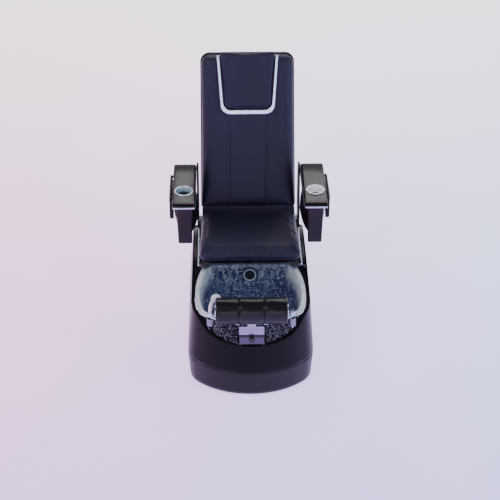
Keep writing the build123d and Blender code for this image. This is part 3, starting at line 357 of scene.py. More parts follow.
SILVER_VINE = moulded("silver_vine_look", (0.050, 0.054, 0.070), (0.16, 0.28), wear=(0.22, 0.24, 0.28))
SPECKLED = moulded("speckled_look", (0.10, 0.10, 0.135), (0.22, 0.34))
JET_RING = moulded("jet_ring_look", (0.34, 0.48, 0.62), (0.16, 0.26))
CUP_LINING = moulded("cup_lining_look", (0.30, 0.46, 0.54), (0.18, 0.28), wear=(0.7, 0.8, 0.85))
# Painted shade: the cup well's floor and lower wall, darker than its lining.
CUP_FLOOR_SHADE = moulded("cup_floor_shade_look", (0.16, 0.28, 0.36), (0.20, 0.30))
BRACKET = metal("bracket_look", (0.26, 0.25, 0.35), (0.20, 0.32), brushed=(6, 1, 1))
DARK_CHROME = metal("dark_chrome_look", (0.085, 0.085, 0.115), (0.14, 0.24), brushed=(6, 1, 1))
BRIGHT_TRIM = metal("bright_trim_look", (0.64, 0.74, 0.88), (0.22, 0.34), brushed=(1, 1, 6))


# ---- mesh helpers ---------------------------------------------------------------
def piece(name, verts, faces, look, smooth=True):
    """A mesh object whose faces all point outwards."""
    mesh = bpy.data.meshes.new(name)
    mesh.from_pydata([tuple(v) for v in verts], [], faces)
    shape = bmesh.new()
    shape.from_mesh(mesh)
    bmesh.ops.remove_doubles(shape, verts=shape.verts, dist=1e-6)
    bmesh.ops.recalc_face_normals(shape, faces=shape.faces)
    shape.to_mesh(mesh)
    shape.free()
    mesh.polygons.foreach_set("use_smooth", [smooth] * len(mesh.polygons))
    mesh.materials.append(look)
    made = bpy.data.objects.new(name, mesh)
    bpy.context.scene.collection.objects.link(made)
    return made


def skin_faces(rows, ring, close_rows=False, close_ring=True, caps=False):
    """Quads between successive rows of points, each with the same number of points."""
    faces = []
    for row in range(rows if close_rows else rows - 1):
        low, high = row * ring, (row + 1) % rows * ring
        for k in range(ring if close_ring else ring - 1):
            after = (k + 1) % ring
            faces.append((low + k, low + after, high + after, high + k))
    if caps:
        faces.append(tuple(reversed(range(ring))))
        faces.append(tuple(range((rows - 1) * ring, rows * ring)))
    return faces


def skin(name, rows, look, **options):
    """A surface through rows of points."""
    verts = [point for row in rows for point in row]
    return piece(name, verts, skin_faces(len(rows), len(rows[0]), **options), look)


def finish_piece(made, body, slot, *nodes):
    """Ride on a body and stand for some CAD nodes; the slot argument is not used."""
    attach(made, body)
    if nodes:
        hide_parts(*nodes)
    return made


def rounded(corners, radii, steps=6):
    """Closed 2-D outline through corners, each rounded to its radius."""
    outline = []
    count = len(corners)
    for i, corner in enumerate(corners):
        here = Vector(corner)
        before = (Vector(corners[i - 1]) - here).normalized()
        after = (Vector(corners[(i + 1) % count]) - here).normalized()
        radius = radii[i] if isinstance(radii, (list, tuple)) else radii
        if radius <= 0:
            outline.append(here)
            continue
        half = math.acos(max(-1.0, min(1.0, before.dot(after)))) / 2
        centre = here + (before + after).normalized() * radius / math.sin(half)
        start = here + before * radius / math.tan(half) - centre
        end = here + after * radius / math.tan(half) - centre
        turn = math.atan2(start.x * end.y - start.y * end.x, start.dot(end))
        first = math.atan2(start.y, start.x)
        for k in range(steps + 1):
            angle = first + turn * k / steps
            outline.append(centre + radius * Vector((math.cos(angle), math.sin(angle))))
    return outline


def oblong(low, high, radii, steps=6):
    """Rounded rectangle from its lowest to its highest corner."""
    return rounded([low, (high[0], low[1]), high, (low[0], high[1])], radii, steps)


def resampled(outline, spacing):
    """Closed outline with extra points so that no gap is longer than the spacing."""
    dense = []
    for here, after in zip(outline, outline[1:] + outline[:1]):
        parts = max(1, math.ceil((after - here).length / spacing))
        dense.extend(here.lerp(after, k / parts) for k in range(parts))
    return dense


def inset(outline, distance):
    """Closed outline moved inwards, for outlines that run either way round."""
    area = sum(a.x * b.y - b.x * a.y for a, b in zip(outline, outline[1:] + outline[:1]))
    sign = 1.0 if area > 0 else -1.0
    moved = []
    for i, here in enumerate(outline):
        along = (outline[(i + 1) % len(outline)] - outline[i - 1]).normalized()
        moved.append(here + sign * distance * Vector((-along.y, along.x)))
    return moved


def plate_rows(outline, thick, low_edge, high_edge, to_space, steps=5):
    """Rows of a slab from an outline, with its two faces' edges rounded to a radius each."""
    levels = []
    for k in range(steps + 1):
        angle = math.pi / 2 * k / steps
        levels.append((low_edge * (1 - math.sin(angle)), low_edge * (1 - math.cos(angle))))
    for k in range(steps + 1):
        angle = math.pi / 2 * k / steps
        levels.append((high_edge * (1 - math.cos(angle)), thick - high_edge * (1 - math.sin(angle))))
    levels.insert(0, (low_edge + 0.0015, 0.0))
    levels.append((high_edge + 0.0015, thick))
    return [[to_space(p.x, p.y, depth) for p in inset(outline, inward)] for inward, depth in levels]


def plate(name, outline, thick, edge, to_space, look, steps=5):
    """Slab with rounded edges."""
    low_edge, high_edge = edge if isinstance(edge, tuple) else (edge, edge)
    return skin(name, plate_rows(outline, thick, low_edge, high_edge, to_space, steps), look, caps=True)


def lathe(name, profile, look, to_space=None, sides=64, wobble=None, close=True):
    """Turned shape from (radius, height) points, closed where the profile starts and ends."""
    rows = []
    for radius, height in profile:
        row = []
        for angle in turns(sides):
            r = max(radius, 1e-5)
            if wobble:
                r = wobble(r, height, angle)
            point = Vector((r * math.cos(angle), r * math.sin(angle), height))
            row.append(to_space @ point if to_space else point)
        rows.append(row)
    return skin(name, rows, look, close_rows=close)


def tube(name, points, radii, look, sides=16):
    """Round bar along points, with a radius at each point."""
    verts = []
    normal = None
    for i, here in enumerate(points):
        along = (points[min(i + 1, len(points) - 1)] - points[max(i - 1, 0)]).normalized()
        if normal is None:
            normal = along.orthogonal().normalized()
        normal = (normal - along * normal.dot(along)).normalized()
        across = along.cross(normal)
        radius = radii[i] if isinstance(radii, (list, tuple)) else radii
        for angle in turns(sides):
            verts.append(here + radius * (math.cos(angle) * normal + math.sin(angle) * across))
    return piece(name, verts, skin_faces(len(points), sides, caps=True), look)


def curved(points, per_span=8):
    """Points along a Catmull-Rom curve through the given points."""
    path = [points[0] * 2 - points[1], *points, points[-1] * 2 - points[-2]]
    out = []
    for a, b, c, d in zip(path, path[1:], path[2:], path[3:]):
        for k in range(per_span):
            t = k / per_span
            out.append(0.5 * (2 * b + (c - a) * t + (2 * a - 5 * b + 4 * c - d) * t * t
                              + (3 * b - 3 * c + d - a) * t ** 3))
    return out + [points[-1]]


def joined(name, parts):
    """Several mesh objects joined into one."""
    bpy.ops.object.select_all(action="DESELECT")
    for part in parts:
        part.select_set(True)
    bpy.context.view_layer.objects.active = parts[0]
    bpy.ops.object.join()
    parts[0].name = name
    return parts[0]


def apply_modifiers(made):
    """Bake an object's modifiers into its mesh."""
    graph = bpy.context.evaluated_depsgraph_get()
    graph.update()
    mesh = bpy.data.meshes.new_from_object(made.evaluated_get(graph))
    made.modifiers.clear()
    made.data = mesh
    mesh.polygons.foreach_set("use_smooth", [True] * len(mesh.polygons))
    return made


def coordinates(made):
    flat = np.empty(len(made.data.vertices) * 3)
    made.data.vertices.foreach_get("co", flat)
    return flat.reshape(-1, 3)


def set_coordinates(made, points):
    made.data.vertices.foreach_set("co", np.asarray(points, float).ravel())
    made.data.update()


def carve(made, *cutters):
    """Cut shapes out of a piece with exact booleans and remove the cutters."""
    for cutter in cutters:
        cut = made.modifiers.new("cut", "BOOLEAN")
        cut.operation = "DIFFERENCE"
        cut.solver = "EXACT"
        cut.object = cutter
    apply_modifiers(made)
    for cutter in cutters:
        bpy.data.objects.remove(cutter)
    return made


# ---- padded pieces ----------------------------------------------------------------
def inflate(made, voxel, pressure, allowed):
    """Swell a padded form by cloth simulation; allowed gives how far each point may move."""
    remesh = made.modifiers.new("remesh", "REMESH")
    remesh.mode = "VOXEL"
    remesh.voxel_size = voxel
    apply_modifiers(made)
    soften = made.modifiers.new("soften", "SMOOTH")
    soften.factor = 0.5
    soften.iterations = 6
    apply_modifiers(made)
    rest = coordinates(made)
    reach = np.array([allowed(*point) for point in rest])
    cloth = made.modifiers.new("cloth", "CLOTH")
    cloth.settings.quality = 4
    cloth.settings.use_pressure = True
    cloth.settings.uniform_pressure_force = pressure
    cloth.settings.tension_stiffness = 12
    cloth.settings.compression_stiffness = 12
    cloth.settings.bending_stiffness = 1.5
    cloth.settings.effector_weights.gravity = 0.0
    scene = bpy.context.scene
    for number in range(1, 17):
        scene.frame_set(number)
    graph = bpy.context.evaluated_depsgraph_get()
    swollen = made.evaluated_get(graph)
    flat = np.empty(len(rest) * 3)
    swollen.data.vertices.foreach_get("co", flat)
    shift = flat.reshape(-1, 3) - rest
    length = np.linalg.norm(shift, axis=1)
    share = np.minimum(1.0, reach / np.maximum(length, 1e-9))
    moved = rest + shift * share[:, None]
    made.modifiers.clear()
    scene.frame_set(1)
    set_coordinates(made, moved)
    soften = made.modifiers.new("soften", "SMOOTH")
    soften.factor = 0.5
    soften.iterations = 4
    finer = made.modifiers.new("finer", "SUBSURF")
    finer.levels = 1
    return apply_modifiers(made)


def groove(made, distance, depth, width, inward):
    """Press a sewn channel into a pad: distance gives each point's distance from the seam."""
    points = coordinates(made)
    away = np.array([distance(*point) for point in points])
    press = depth * np.exp(-(away / width) ** 2)
    set_coordinates(made, points - press[:, None] * np.array(inward(points)))


def stitches(name, path, normal, body, slot, pitch=0.0065, length=0.0042, radius=0.00055):
    """A row of single stitches along a path."""
    lengths = [0.0]
    for a, b in zip(path, path[1:]):
        lengths.append(lengths[-1] + (b - a).length)
    verts, faces = [], []
    sides = 6

    def point_at(distance):
        for i in range(1, len(path)):
            if lengths[i] >= distance:
                span = max(lengths[i] - lengths[i - 1], 1e-9)
                return path[i - 1].lerp(path[i], (distance - lengths[i - 1]) / span)
        return path[-1]

    for k in range(int(lengths[-1] / pitch)):
        start, end = point_at(k * pitch), point_at(k * pitch + length)
        along = (end - start).normalized()
        across = along.cross(normal).normalized()
        rings = ((0.0, 0.35, -0.4), (0.2, 1.0, 0.5), (0.8, 1.0, 0.5), (1.0, 0.35, -0.4))
        base = len(verts)
        for share, size, lift in rings:
            centre = start.lerp(end, share) + normal * radius * lift
            for angle in turns(sides):
                verts.append(centre + radius * size * (math.cos(angle) * across + math.sin(angle) * normal))
        faces.extend(tuple(base + index for index in face) for face in skin_faces(4, sides, caps=True))
    return finish_piece(piece(name, verts, faces, THREAD), body, slot)


def surface_of(made):
    """A piece's surface, ready for rays."""
    return BVHTree.FromPolygons([v.co for v in made.data.vertices], [p.vertices for p in made.data.polygons])


def surface_path(made, starts, direction):
    """Where rays from some points first meet a piece."""
    tree = surface_of(made)
    hits = (tree.ray_cast(start, direction)[0] for start in starts)
    return [hit for hit in hits if hit is not None]


# ---- base -------------------------------------------------------------------------
def rim_height(y):
    """Height of the shell's upper edge at a place along the chair, on a smooth curve."""
    ys = [p[0] for p in RIM_CURVE]
    zs = [p[1] for p in RIM_CURVE]
    slopes = np.gradient(zs, ys)
    i = int(np.clip(np.searchsorted(ys, y) - 1, 0, len(ys) - 2))
    span = ys[i + 1] - ys[i]
    t = unit((y - ys[i]) / span)
    return (zs[i] * (1 + 2 * t) * (1 - t) ** 2 + slopes[i] * span * t * (1 - t) ** 2
            + zs[i + 1] * t * t * (3 - 2 * t) - slopes[i + 1] * span * t * t * (1 - t))


def plan_ring(half, front, inward=0.0):
    """Plan outline of the base: curved front, straight sides and rounded rear corners."""
    half, front, rear = half - inward, front + inward, BASE_REAR - inward
    radius = REAR_RADIUS - inward
    reach = BASE_CORNER - front
    bow = (half * half + reach * reach) / (2 * reach)
    centre = front + bow
    start = math.asin(half / bow)
    right = [Vector((half * k / 6 * 0.8, rear)) for k in range(6)]
    right += [Vector((half - radius + radius * math.sin(math.pi / 2 * k / 8),
                      rear - radius + radius * math.cos(math.pi / 2 * k / 8))) for k in range(9)]
    blend = 0.055
    run = BASE_CORNER + blend - rear + radius
    right += [Vector((half, rear - radius + run * k / 26)) for k in range(1, 27)]
    turn_in = start - blend / bow
    knee = Vector((bow * math.sin(turn_in), centre - bow * math.cos(turn_in)))
    first, corner = right[-1], Vector((half, BASE_CORNER))
    right += [first.lerp(corner, k / 8).lerp(corner.lerp(knee, k / 8), k / 8) for k in range(1, 9)]
    bends = [turn_in * (1 - k / 22) for k in range(1, 23)]
    right += [Vector((bow * math.sin(bend), centre - bow * math.cos(bend))) for bend in bends]
    return right + [Vector((-p.x, p.y)) for p in reversed(right[1:-1])]


def wall_point(low, high, height, inward, index):
    """Point of a base wall that tapers between its lowest and its highest outline."""
    share = (height - low[0]) / (high[0] - low[0])
    half = low[1] + share * (high[1] - low[1])
    front = low[2] + share * (high[2] - low[2])
    p = plan_ring(half, front, inward)[index]
    return at(p.x, p.y, height)


def wall_rows(low, high, top_of, bead, levels):
    """Rows of a hollow wall: up the outside, over a rolled edge and down the inside."""
    tops = [top_of(p.y) for p in plan_ring(low[1], low[2])]
    plan = []
    for k in range(levels + 1):
        plan.append((k / levels, 0.0, 0.0))
    for k in range(1, 7):
        angle = math.pi * k / 6
        plan.append((1.0, bead * (1 - math.cos(angle)), bead * math.sin(angle)))
    plan.append((1.0, 2 * bead, -0.020))
    plan.append((0.0, 2 * bead, 0.0))
    rows = []
    for share, inward, lift in plan:
        row = []
        for i, top in enumerate(tops):
            height = low[0] + share * (top - bead - low[0]) + lift
            row.append(wall_point(low, high, height, inward, i))
        rows.append(row)
    return rows


def make_shell():
    """Upper shell with its rolled rim, and the lower skirt with a shadow gap between them."""
    rows = wall_rows(SHELL_LOW, SHELL_HIGH, rim_height, 0.0035, 22)
    shell = skin("base_shell_skin", rows, LOOKS["gloss_black"], close_rows=True)
    finish_piece(shell, "base", "gloss_black", "base_shell")
    rows = wall_rows(SKIRT_LOW, SKIRT_HIGH, lambda y: SKIRT_HIGH[0], 0.0025, 8)
    skirt = skin("base_skirt_skin", rows, LOOKS["gloss_skirt"], close_rows=True)
    for x, y, z, size in ((0, BASE_REAR, 0.110, 0.023), (-0.150, BASE_REAR, 0.100, 0.011),
                          (-0.110, BASE_REAR, 0.100, 0.011)):
        turn = Matrix.Translation(at(x, y - 0.03, z)) @ Matrix.Rotation(-math.pi / 2, 4, "X")
        profile = ((0.0, 0.0), (size, 0.0), (size, 0.06), (0.0, 0.06))
        carve(skirt, lathe("hole", profile, LOOKS["gloss_skirt"], turn, close=False))
    finish_piece(skirt, "base", "gloss_skirt", "base_skirt")


# ---- foot bowl ------------------------------------------------------------------------
def bowl_ring(halves, places, inward=0.0, count=220, soften=5.0):
    """Bowl outline in plan, resampled evenly and with its corners eased."""
    rear_half, side_half, corner_half, nose_half = (h - inward for h in halves)
    rear, side, corner, nose, tip = places
    rear, corner, nose, tip = rear - inward, corner + inward, nose + inward, tip + inward

    def arc(a, b, c, steps):
        """Points on the circle through three points."""
        (ax, ay), (bx, by), (cx, cy) = a, b, c
        d = 2 * (ax * (by - cy) + bx * (cy - ay) + cx * (ay - by))
        ux = ((ax * ax + ay * ay) * (by - cy) + (bx * bx + by * by) * (cy - ay)
              + (cx * cx + cy * cy) * (ay - by)) / d
        uy = ((ax * ax + ay * ay) * (cx - bx) + (bx * bx + by * by) * (ax - cx)
              + (cx * cx + cy * cy) * (bx - ax)) / d
        centre = Vector((ux, uy))
        start, end = Vector(a) - centre, Vector(c) - centre
        turn = math.atan2(start.x * end.y - start.y * end.x, start.dot(end))
        first = math.atan2(start.y, start.x)
        return [centre + start.length * Vector((math.cos(first + turn * k / steps),
                                                math.sin(first + turn * k / steps)))
                for k in range(steps + 1)]

    outline = [Vector((rear_half, rear)), Vector((-rear_half, rear))]
    outline += arc((-rear_half, rear), (-side_half, side), (-corner_half, corner), 24)[1:]
    outline += arc((-nose_half, nose), (0, tip), (nose_half, nose), 24)
    outline += arc((corner_half, corner), (side_half, side), (rear_half, rear), 24)[:-1]
    dense = resampled(outline, 0.002)
    points = np.array([tuple(p) for p in dense])
    steps = np.linalg.norm(np.roll(points, -1, 0) - points, axis=1)
    along = np.concatenate([[0], np.cumsum(steps)])
    wanted = np.arange(count) * along[-1] / count
    looped = np.vstack([points, points[:1]])
    even = np.stack([np.interp(wanted, along, looped[:, a]) for a in (0, 1)], axis=1)
    reach = int(soften * 3)
    weights = np.exp(-0.5 * (np.arange(-reach, reach + 1) / (soften * 0.5)) ** 2)
    weights /= weights.sum()
    eased = sum(w * np.roll(even, k, 0) for k, w in zip(range(-reach, reach + 1), weights))
    return eased


def rim_z(y):
    """Height of the basin's flat rim."""
    return RIM_REAR_Z + (y - RIM_PLACE[0]) * RIM_SLOPE


def bowl_level(share, inward, inside):
    """One level of the basin wall between its rim (share 0) and its floor (share 1)."""
    top = bowl_ring(RIM_HALF, RIM_PLACE, RIM_WIDTH if inside else RIM_WIDTH - GLASS)
    low = bowl_ring(FLOOR_HALF, FLOOR_PLACE, GLASS if inside else 0.0)
    floor = BOWL_LOW + (GLASS if inside else 0.0)
    row = []
    for (tx, ty), (lx, ly) in zip(top, low):
        z_top = rim_z(ty)
        x, y, z = tx + (lx - tx) * share, ty + (ly - ty) * share, z_top + (floor - z_top) * share
        if inward:
            scale = 1 - inward / FLOOR_REACH
            x, y = x * scale, (y - FLOOR_MIDDLE) * scale + FLOOR_MIDDLE
        row.append(at(x, y, z))
    return row


def make_bowl():
    """Basin with a rolled rim and rounded foot, its sides and rim painted pale as reflection in the glass."""
    rows = []
    rim_roll = 0.004
    for k in range(9):
        angle = math.pi * k / 8 - math.pi / 2
        inward = rim_roll - rim_roll * math.cos(angle)
        lift = rim_roll * math.sin(angle) - rim_roll
        rows.append([at(x, y, rim_z(y) + lift) for x, y in bowl_ring(RIM_HALF, RIM_PLACE, inward)])
    rows.append([at(x, y, rim_z(y)) for x, y in bowl_ring(RIM_HALF, RIM_PLACE, RIM_WIDTH * 0.5)])
    rows.append([at(x, y, rim_z(y)) for x, y in bowl_ring(RIM_HALF, RIM_PLACE, RIM_WIDTH - 0.003)])
    rows.append([p + Vector((0, 0, -0.001)) for p in bowl_level(0.0, 0.0, True)])
    for share in (0.03, 0.12, 0.24, 0.36, 0.48, 0.60, 0.70, 0.78):
        rows.append(bowl_level(share, 0.0, True))
    for share, inward in ((0.85, 0.001), (0.91, 0.004), (0.955, 0.010), (0.985, 0.020), (1.0, 0.034),
                          (1.0, 0.060), (1.0, 0.100), (1.0, 0.150)):
        rows.append(bowl_level(share, inward, True))
    for inside in (True, False):
        rows.append(bowl_level(1.0, FLOOR_REACH - 0.0004, inside))
    for inward in (0.100, 0.030, 0.012, 0.003):
        rows.append(bowl_level(1.0, inward, False))
    for share in (0.97, 0.85, 0.65, 0.45, 0.25, 0.08):
        rows.append(bowl_level(share, 0.0, False))
    rows.append([p + Vector((0, 0, -GLASS)) for p in bowl_level(0.0, 0.0, False)])
    bowl = skin("foot_bowl", rows, LOOKS["bowl_glass"], close_rows=True)
    # Painted reflection mask: walls that face sideways, fading out below the rim, and the rim itself, weaker
    # at the rear.
    pale = bowl.data.attributes.new("pale", "FLOAT", "POINT")
    shares = []
    for vertex, normal in zip(bowl.data.vertices, bowl.data.vertex_normals):
        x, y, z = vertex.co
        below = rim_z(y + CENTRE_Y) - z
        side = unit((abs(normal.vector.x) - 0.30) / 0.36)
        fade = unit((0.085 - below) / 0.070)
        on_rim = 1.0 if below < 0.010 else 0.0
        rear = y + CENTRE_Y > 0.045
        shares.append(max(side * fade * fade * (3 - 2 * fade), on_rim * (0.25 if rear else 1.0)))
    pale.data.foreach_set("value", shares)
    return finish_piece(bowl, "base", "bowl_glass", "glass_bowl")


def make_jet_ring():
    """Pale bead around the jet's dark grille."""
    low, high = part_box("jet_cap")
    radius = (high.x - low.x) / 2
    thick = (high.y - low.y - 2 * radius * math.sin(JET_LEAN)) / math.cos(JET_LEAN)
    out = Vector((0, -math.cos(JET_LEAN), math.sin(JET_LEAN)))
    centre = (low + high) / 2 + out * (thick / 2 - 0.0006)
    turn = Matrix.Translation(centre) @ out.to_track_quat("Z", "Y").to_matrix().to_4x4()
    bead = [(radius - 0.0046 + 0.0042 * math.cos(angle), 0.0016 * math.sin(angle)) for angle in turns(16)]
    finish_piece(lathe("jet_ring", bead, JET_RING, turn, 64), "base", "chrome")


def apron_point(x, share, inward=0.0):
    """Point of the belly's front between the deck (share 0) and the rim's underside (share 1)."""
    (low_y, low_r), (high_y, high_r) = APRON_LOW, APRON_HIGH
    low = low_y - math.sqrt((low_r - inward) ** 2 - x * x)
    high = high_y - math.sqrt((high_r - inward) ** 2 - x * x)
    top = rim_z(high) - APRON_DROP
    cut = (max(APRON_FOOT, rim_height(low) - 0.010) - APRON_LOW_Z) / (top - APRON_LOW_Z)
    share = cut + (1.0 - cut) * share
    return at(x, low + (high - low) * share, APRON_LOW_Z + (top - APRON_LOW_Z) * share)


def make_apron():
    """Gloss belly in front of the bowl, in two halves beside the foot rest's bracket, with its towers."""
    parts = []
    for side in (-1, 1):
        rows = []
        for k in range(15):
            x = side * (APRON_IN + (APRON_OUT - APRON_IN) * k / 14)
            front = [apron_point(x, j / 10) for j in range(11)]
            rows.append(front + [apron_point(x, j / 10, APRON_WALL) for j in range(10, -1, -1)])
        parts.append(skin("half", rows, LOOKS["gloss_black"], caps=True))
        top = rim_z(FITTING[1]) - APRON_DROP - 0.004
        low = rim_height(FITTING[1]) - 0.006
        turn = Matrix.Translation(at(side * FITTING[0], FITTING[1], 0))
        profile = ((TOWER_IN, low), (TOWER_OUT, low), (TOWER_OUT, top - 0.001), (TOWER_OUT - 0.001, top),
                   (TOWER_IN + 0.001, top), (TOWER_IN, top - 0.001))
        tower = lathe(f"belly_tower_{'right' if side > 0 else 'left'}", profile, SPECKLED, turn, 40)
        shade_by_angle(tower)
        finish_piece(tower, "base", "gloss_black")
    made = joined("bowl_apron_skin", parts)
    shade_by_angle(made)
    return finish_piece(made, "base", "gloss_black", "bowl_apron")


def leaf(verts, faces, place, along, normal, length, width, lift):
    """Add one raised leaf with a midrib to a mesh under construction."""
    across = along.cross(normal).normalized()
    base = len(verts)
    outline = ((0.0, 0.0), (0.25, 0.8), (0.5, 1.0), (0.75, 0.7), (1.0, 0.0), (0.75, -0.7), (0.5, -1.0),
               (0.25, -0.8))
    for t, side in outline:
        verts.append(place + along * length * t + across * width * side - normal * lift * 0.6)
    for t in (0.12, 0.5, 0.88):
        verts.append(place + along * length * t + normal * lift)
    for a, b, c in ((0, 1, 8), (1, 2, 8), (2, 9, 8), (2, 3, 9), (3, 10, 9), (3, 4, 10), (4, 5, 10),
                    (5, 9, 10), (5, 6, 9), (6, 8, 9), (6, 7, 8), (7, 0, 8)):
        faces.append((base + a, base + b, base + c))
    faces.append(tuple(base + k for k in reversed(range(8))))


def sown(name, tree, spots, look, slot):
    """Raised leaves where rays meet a surface: each spot is a start, a ray, the leaf's heading and
    length, and a test of whether it may grow there."""
    verts, faces = [], []
    for start, ray, heading, length, kept in spots:
        hit, normal = tree.ray_cast(start, ray)[:2]
        if hit is None or not kept(hit):
            continue
        normal = -normal if normal.dot(ray) > 0 else normal
        flat = heading - normal * heading.dot(normal)
        if flat.length < 1e-6:
            continue
        leaf(verts, faces, hit, flat.normalized(), normal, length, length * 0.24, 0.0010)
    return finish_piece(piece(name, verts, faces, look, smooth=False), "base", slot)


def make_vines(bowl, apron):
    """Fine raised foliage over the basin's rear wall and floor, and over its belly in front."""
    chance = random.Random(7)
    eye = at(0, -0.10, 0.455)
    jet, drain = at(*JET), at(*DRAIN)

    def clear(hit):
        return (hit - jet).length > 0.042 and (hit - drain).length > 0.040

    spots = []
    for vine in range(44):
        base_x = -0.208 + 0.00967 * vine
        sway, phase = 0.005 + 0.006 * chance.random(), chance.random() * 6.28
        tilt = -0.105
        ends = 2.45 - 0.5 * abs(base_x) / 0.2
        while tilt < ends:
            x = base_x + sway * math.sin(tilt * 9 + phase)
            ray = Vector((0, math.cos(tilt), -math.sin(tilt)))
            up = Vector((0, math.sin(tilt), math.cos(tilt)))
            for side in (-1, 1):
                if chance.random() < 0.96 - 0.80 * unit(tilt) ** 0.7:
                    turn = side * (0.4 + 0.9 * chance.random()) + 0.8 * math.sin(tilt * 5 + phase)
                    heading = Vector((math.sin(turn), 0, 0)) + up * math.cos(turn)
                    spots.append((Vector((x + side * 0.0015, eye.y, eye.z)), ray, heading,
                                  0.0055 + 0.0055 * chance.random(), clear))
            tilt += 0.034 + 0.022 * chance.random() + 0.012 * max(tilt, 0.0)
    sown("bowl_vines", surface_of(bowl), spots, VINE, "bowl_glass")

    spots = []
    for k in range(760):
        x = -0.204 + 0.408 * chance.random()
        z = 0.296 + 0.100 * chance.random()
        turn = chance.random() * 6.28
        heading = Vector((math.cos(turn), 0, math.sin(turn)))
        spots.append((at(x, -0.60, z), Vector((0, 1, 0)), heading, 0.0055 + 0.0050 * chance.random(),
                      lambda hit: hit.y < at(0, -0.28, 0).y))
    sown("bowl_belly_vines", surface_of(apron), spots, SILVER_VINE, "gloss_black")


# ---- shower --------------------------------------------------------------------------
def make_shower():
    """Hand shower: slanted neck, swept shoulder and a round spray face."""
    low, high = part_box("shower_head")
    holder_low, holder_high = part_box("shower_holder")
    x = (holder_low.x + holder_high.x) / 2
    y = (holder_low.y + holder_high.y) / 2
    foot = Vector((x, y, low.z + 0.001))
    head = Vector((high.x - 0.027, high.y - 0.030, high.z - 0.024))
    path = curved([foot, foot + Vector((0, 0, 0.022)), foot + Vector((0.006, 0.008, 0.050)),
                   foot.lerp(head, 0.72) + Vector((-0.002, -0.006, 0.020)),
                   head + Vector((-0.003, -0.010, 0.012)), head], 8)
    radii = [0.0082 + 0.0022 * math.sin(math.pi * k / (len(path) - 1)) for k in range(len(path))]
    neck = tube("shower_neck", path, radii, LOOKS["white_plastic"], 20)
    face = Vector((0.10, 0.30, -1.0)).normalized()
    frame_of = Matrix.Translation(head) @ face.to_track_quat("Z", "Y").to_matrix().to_4x4()
    profile = ((0.0, -0.014), (0.008, -0.0135), (0.016, -0.010), (0.0225, -0.003), (0.0245, 0.003),
               (0.0240, 0.008), (0.0222, 0.0100), (0.0195, 0.0092), (0.0, 0.0088))
    rose = lathe("shower_rose", profile, LOOKS["white_plastic"], frame_of, 40, close=False)
    nozzles = []
    for ring, count in ((0.0, 1), (0.007, 6), (0.0135, 12)):
        for angle in turns(count):
            spot = frame_of @ Matrix.Translation((ring * math.cos(angle), ring * math.sin(angle), 0.0088))
            nozzles.append(lathe("nozzle", ((0.0, -0.001), (0.0012, -0.001), (0.0009, 0.0012), (0.0, 0.0014)),
                                 LOOKS["rubber"], spot, 8, close=False))
    made = joined("shower_hand_piece", [neck, rose, *nozzles])
    finish_piece(made, "shower_head", "white_plastic", "shower_head")


# ---- foot rest ---------------------------------------------------------------------------
def make_footrest():
    """Three vinyl rolls with drawn-in ends and welts between them."""
    turn = Matrix.Translation(REST) @ Matrix.Rotation(math.pi / 2, 4, "Y")
    edges = (-REST_HALF, -REST_SEAM, REST_SEAM, REST_HALF)
    for number, (start, end) in enumerate(zip(edges, edges[1:])):
        middle, half = (start + end) / 2, (end - start) / 2
        profile = [(0.0145, start + 0.004)]
        steps = 26
        for k in range(steps + 1):
            angle = math.pi * k / steps
            reach = -math.cos(angle)
            ease = 1 - abs(reach) ** 30
            radius = REST_R - 0.0030 - 0.0070 * (1 - ease) + 0.0018 * (1 - reach * reach)
            sign = 1 if reach > 0 else -1
            profile.append((radius, middle + half * sign * abs(reach) ** 0.8 * 0.9985))
        profile.append((0.0145, end - 0.004))

        def creased(r, height, angle, number=number):
            ripple = 0.0005 * math.sin(7 * angle + number * 2.1) * math.sin(height * 60 + number)
            return r + (ripple if r > 0.05 else 0.0)

        roll = lathe(f"footrest_roll_{number + 1}", profile, LOOKS["footrest_vinyl"], turn, 72, creased)
        finish_piece(roll, "footrest", "footrest_vinyl", *(["footrest_pads"] if number == 1 else []))
    welts = []
    for x in edges[1:-1]:
        ring = [REST + Vector((x, (REST_R - 0.0062) * math.cos(2 * math.pi * k / 72),
                               (REST_R - 0.0062) * math.sin(2 * math.pi * k / 72))) for k in range(73)]
        welts.append(tube("welt", ring, 0.0016, LOOKS["footrest_vinyl"], 8))
    finish_piece(joined("footrest_welts", welts), "footrest", "footrest_vinyl")


def make_bracket_bands():
    """Black strip painted as the shadow of a gap, and rounded darker band, across the front of the foot
    rest's bracket.
    """
    low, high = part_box("footrest_carrier")
    # The first strip is black plastic laid on the face: painted shadow standing for the gap between the plate
    # and the band.
    for name, start, end, proud, look in (("bracket_painted_shadow", 0.3445, 0.3580, 0.0010, LOOKS["black_plastic"]),
                                          ("bracket_band", 0.3050, 0.3440, 0.0018, DARK_CHROME)):
        line = oblong((low.x, start), (high.x, end), 0.0018, 4)
        band = plate(name, resampled(line, 0.01), 0.003, (0.0005, proud * 0.9),
                     lambda x, z, d, proud=proud: Vector((x, low.y + 0.003 - proud - d, z)), look, 3)
        finish_piece(band, "footrest", "chrome")


# ---- seat ----------------------------------------------------------------------------------
def seat_half(y):
    """Half width of the seat pad at a place along the chair."""
    return 0.257 - 0.010 * unit((y - 0.060) / 0.240)


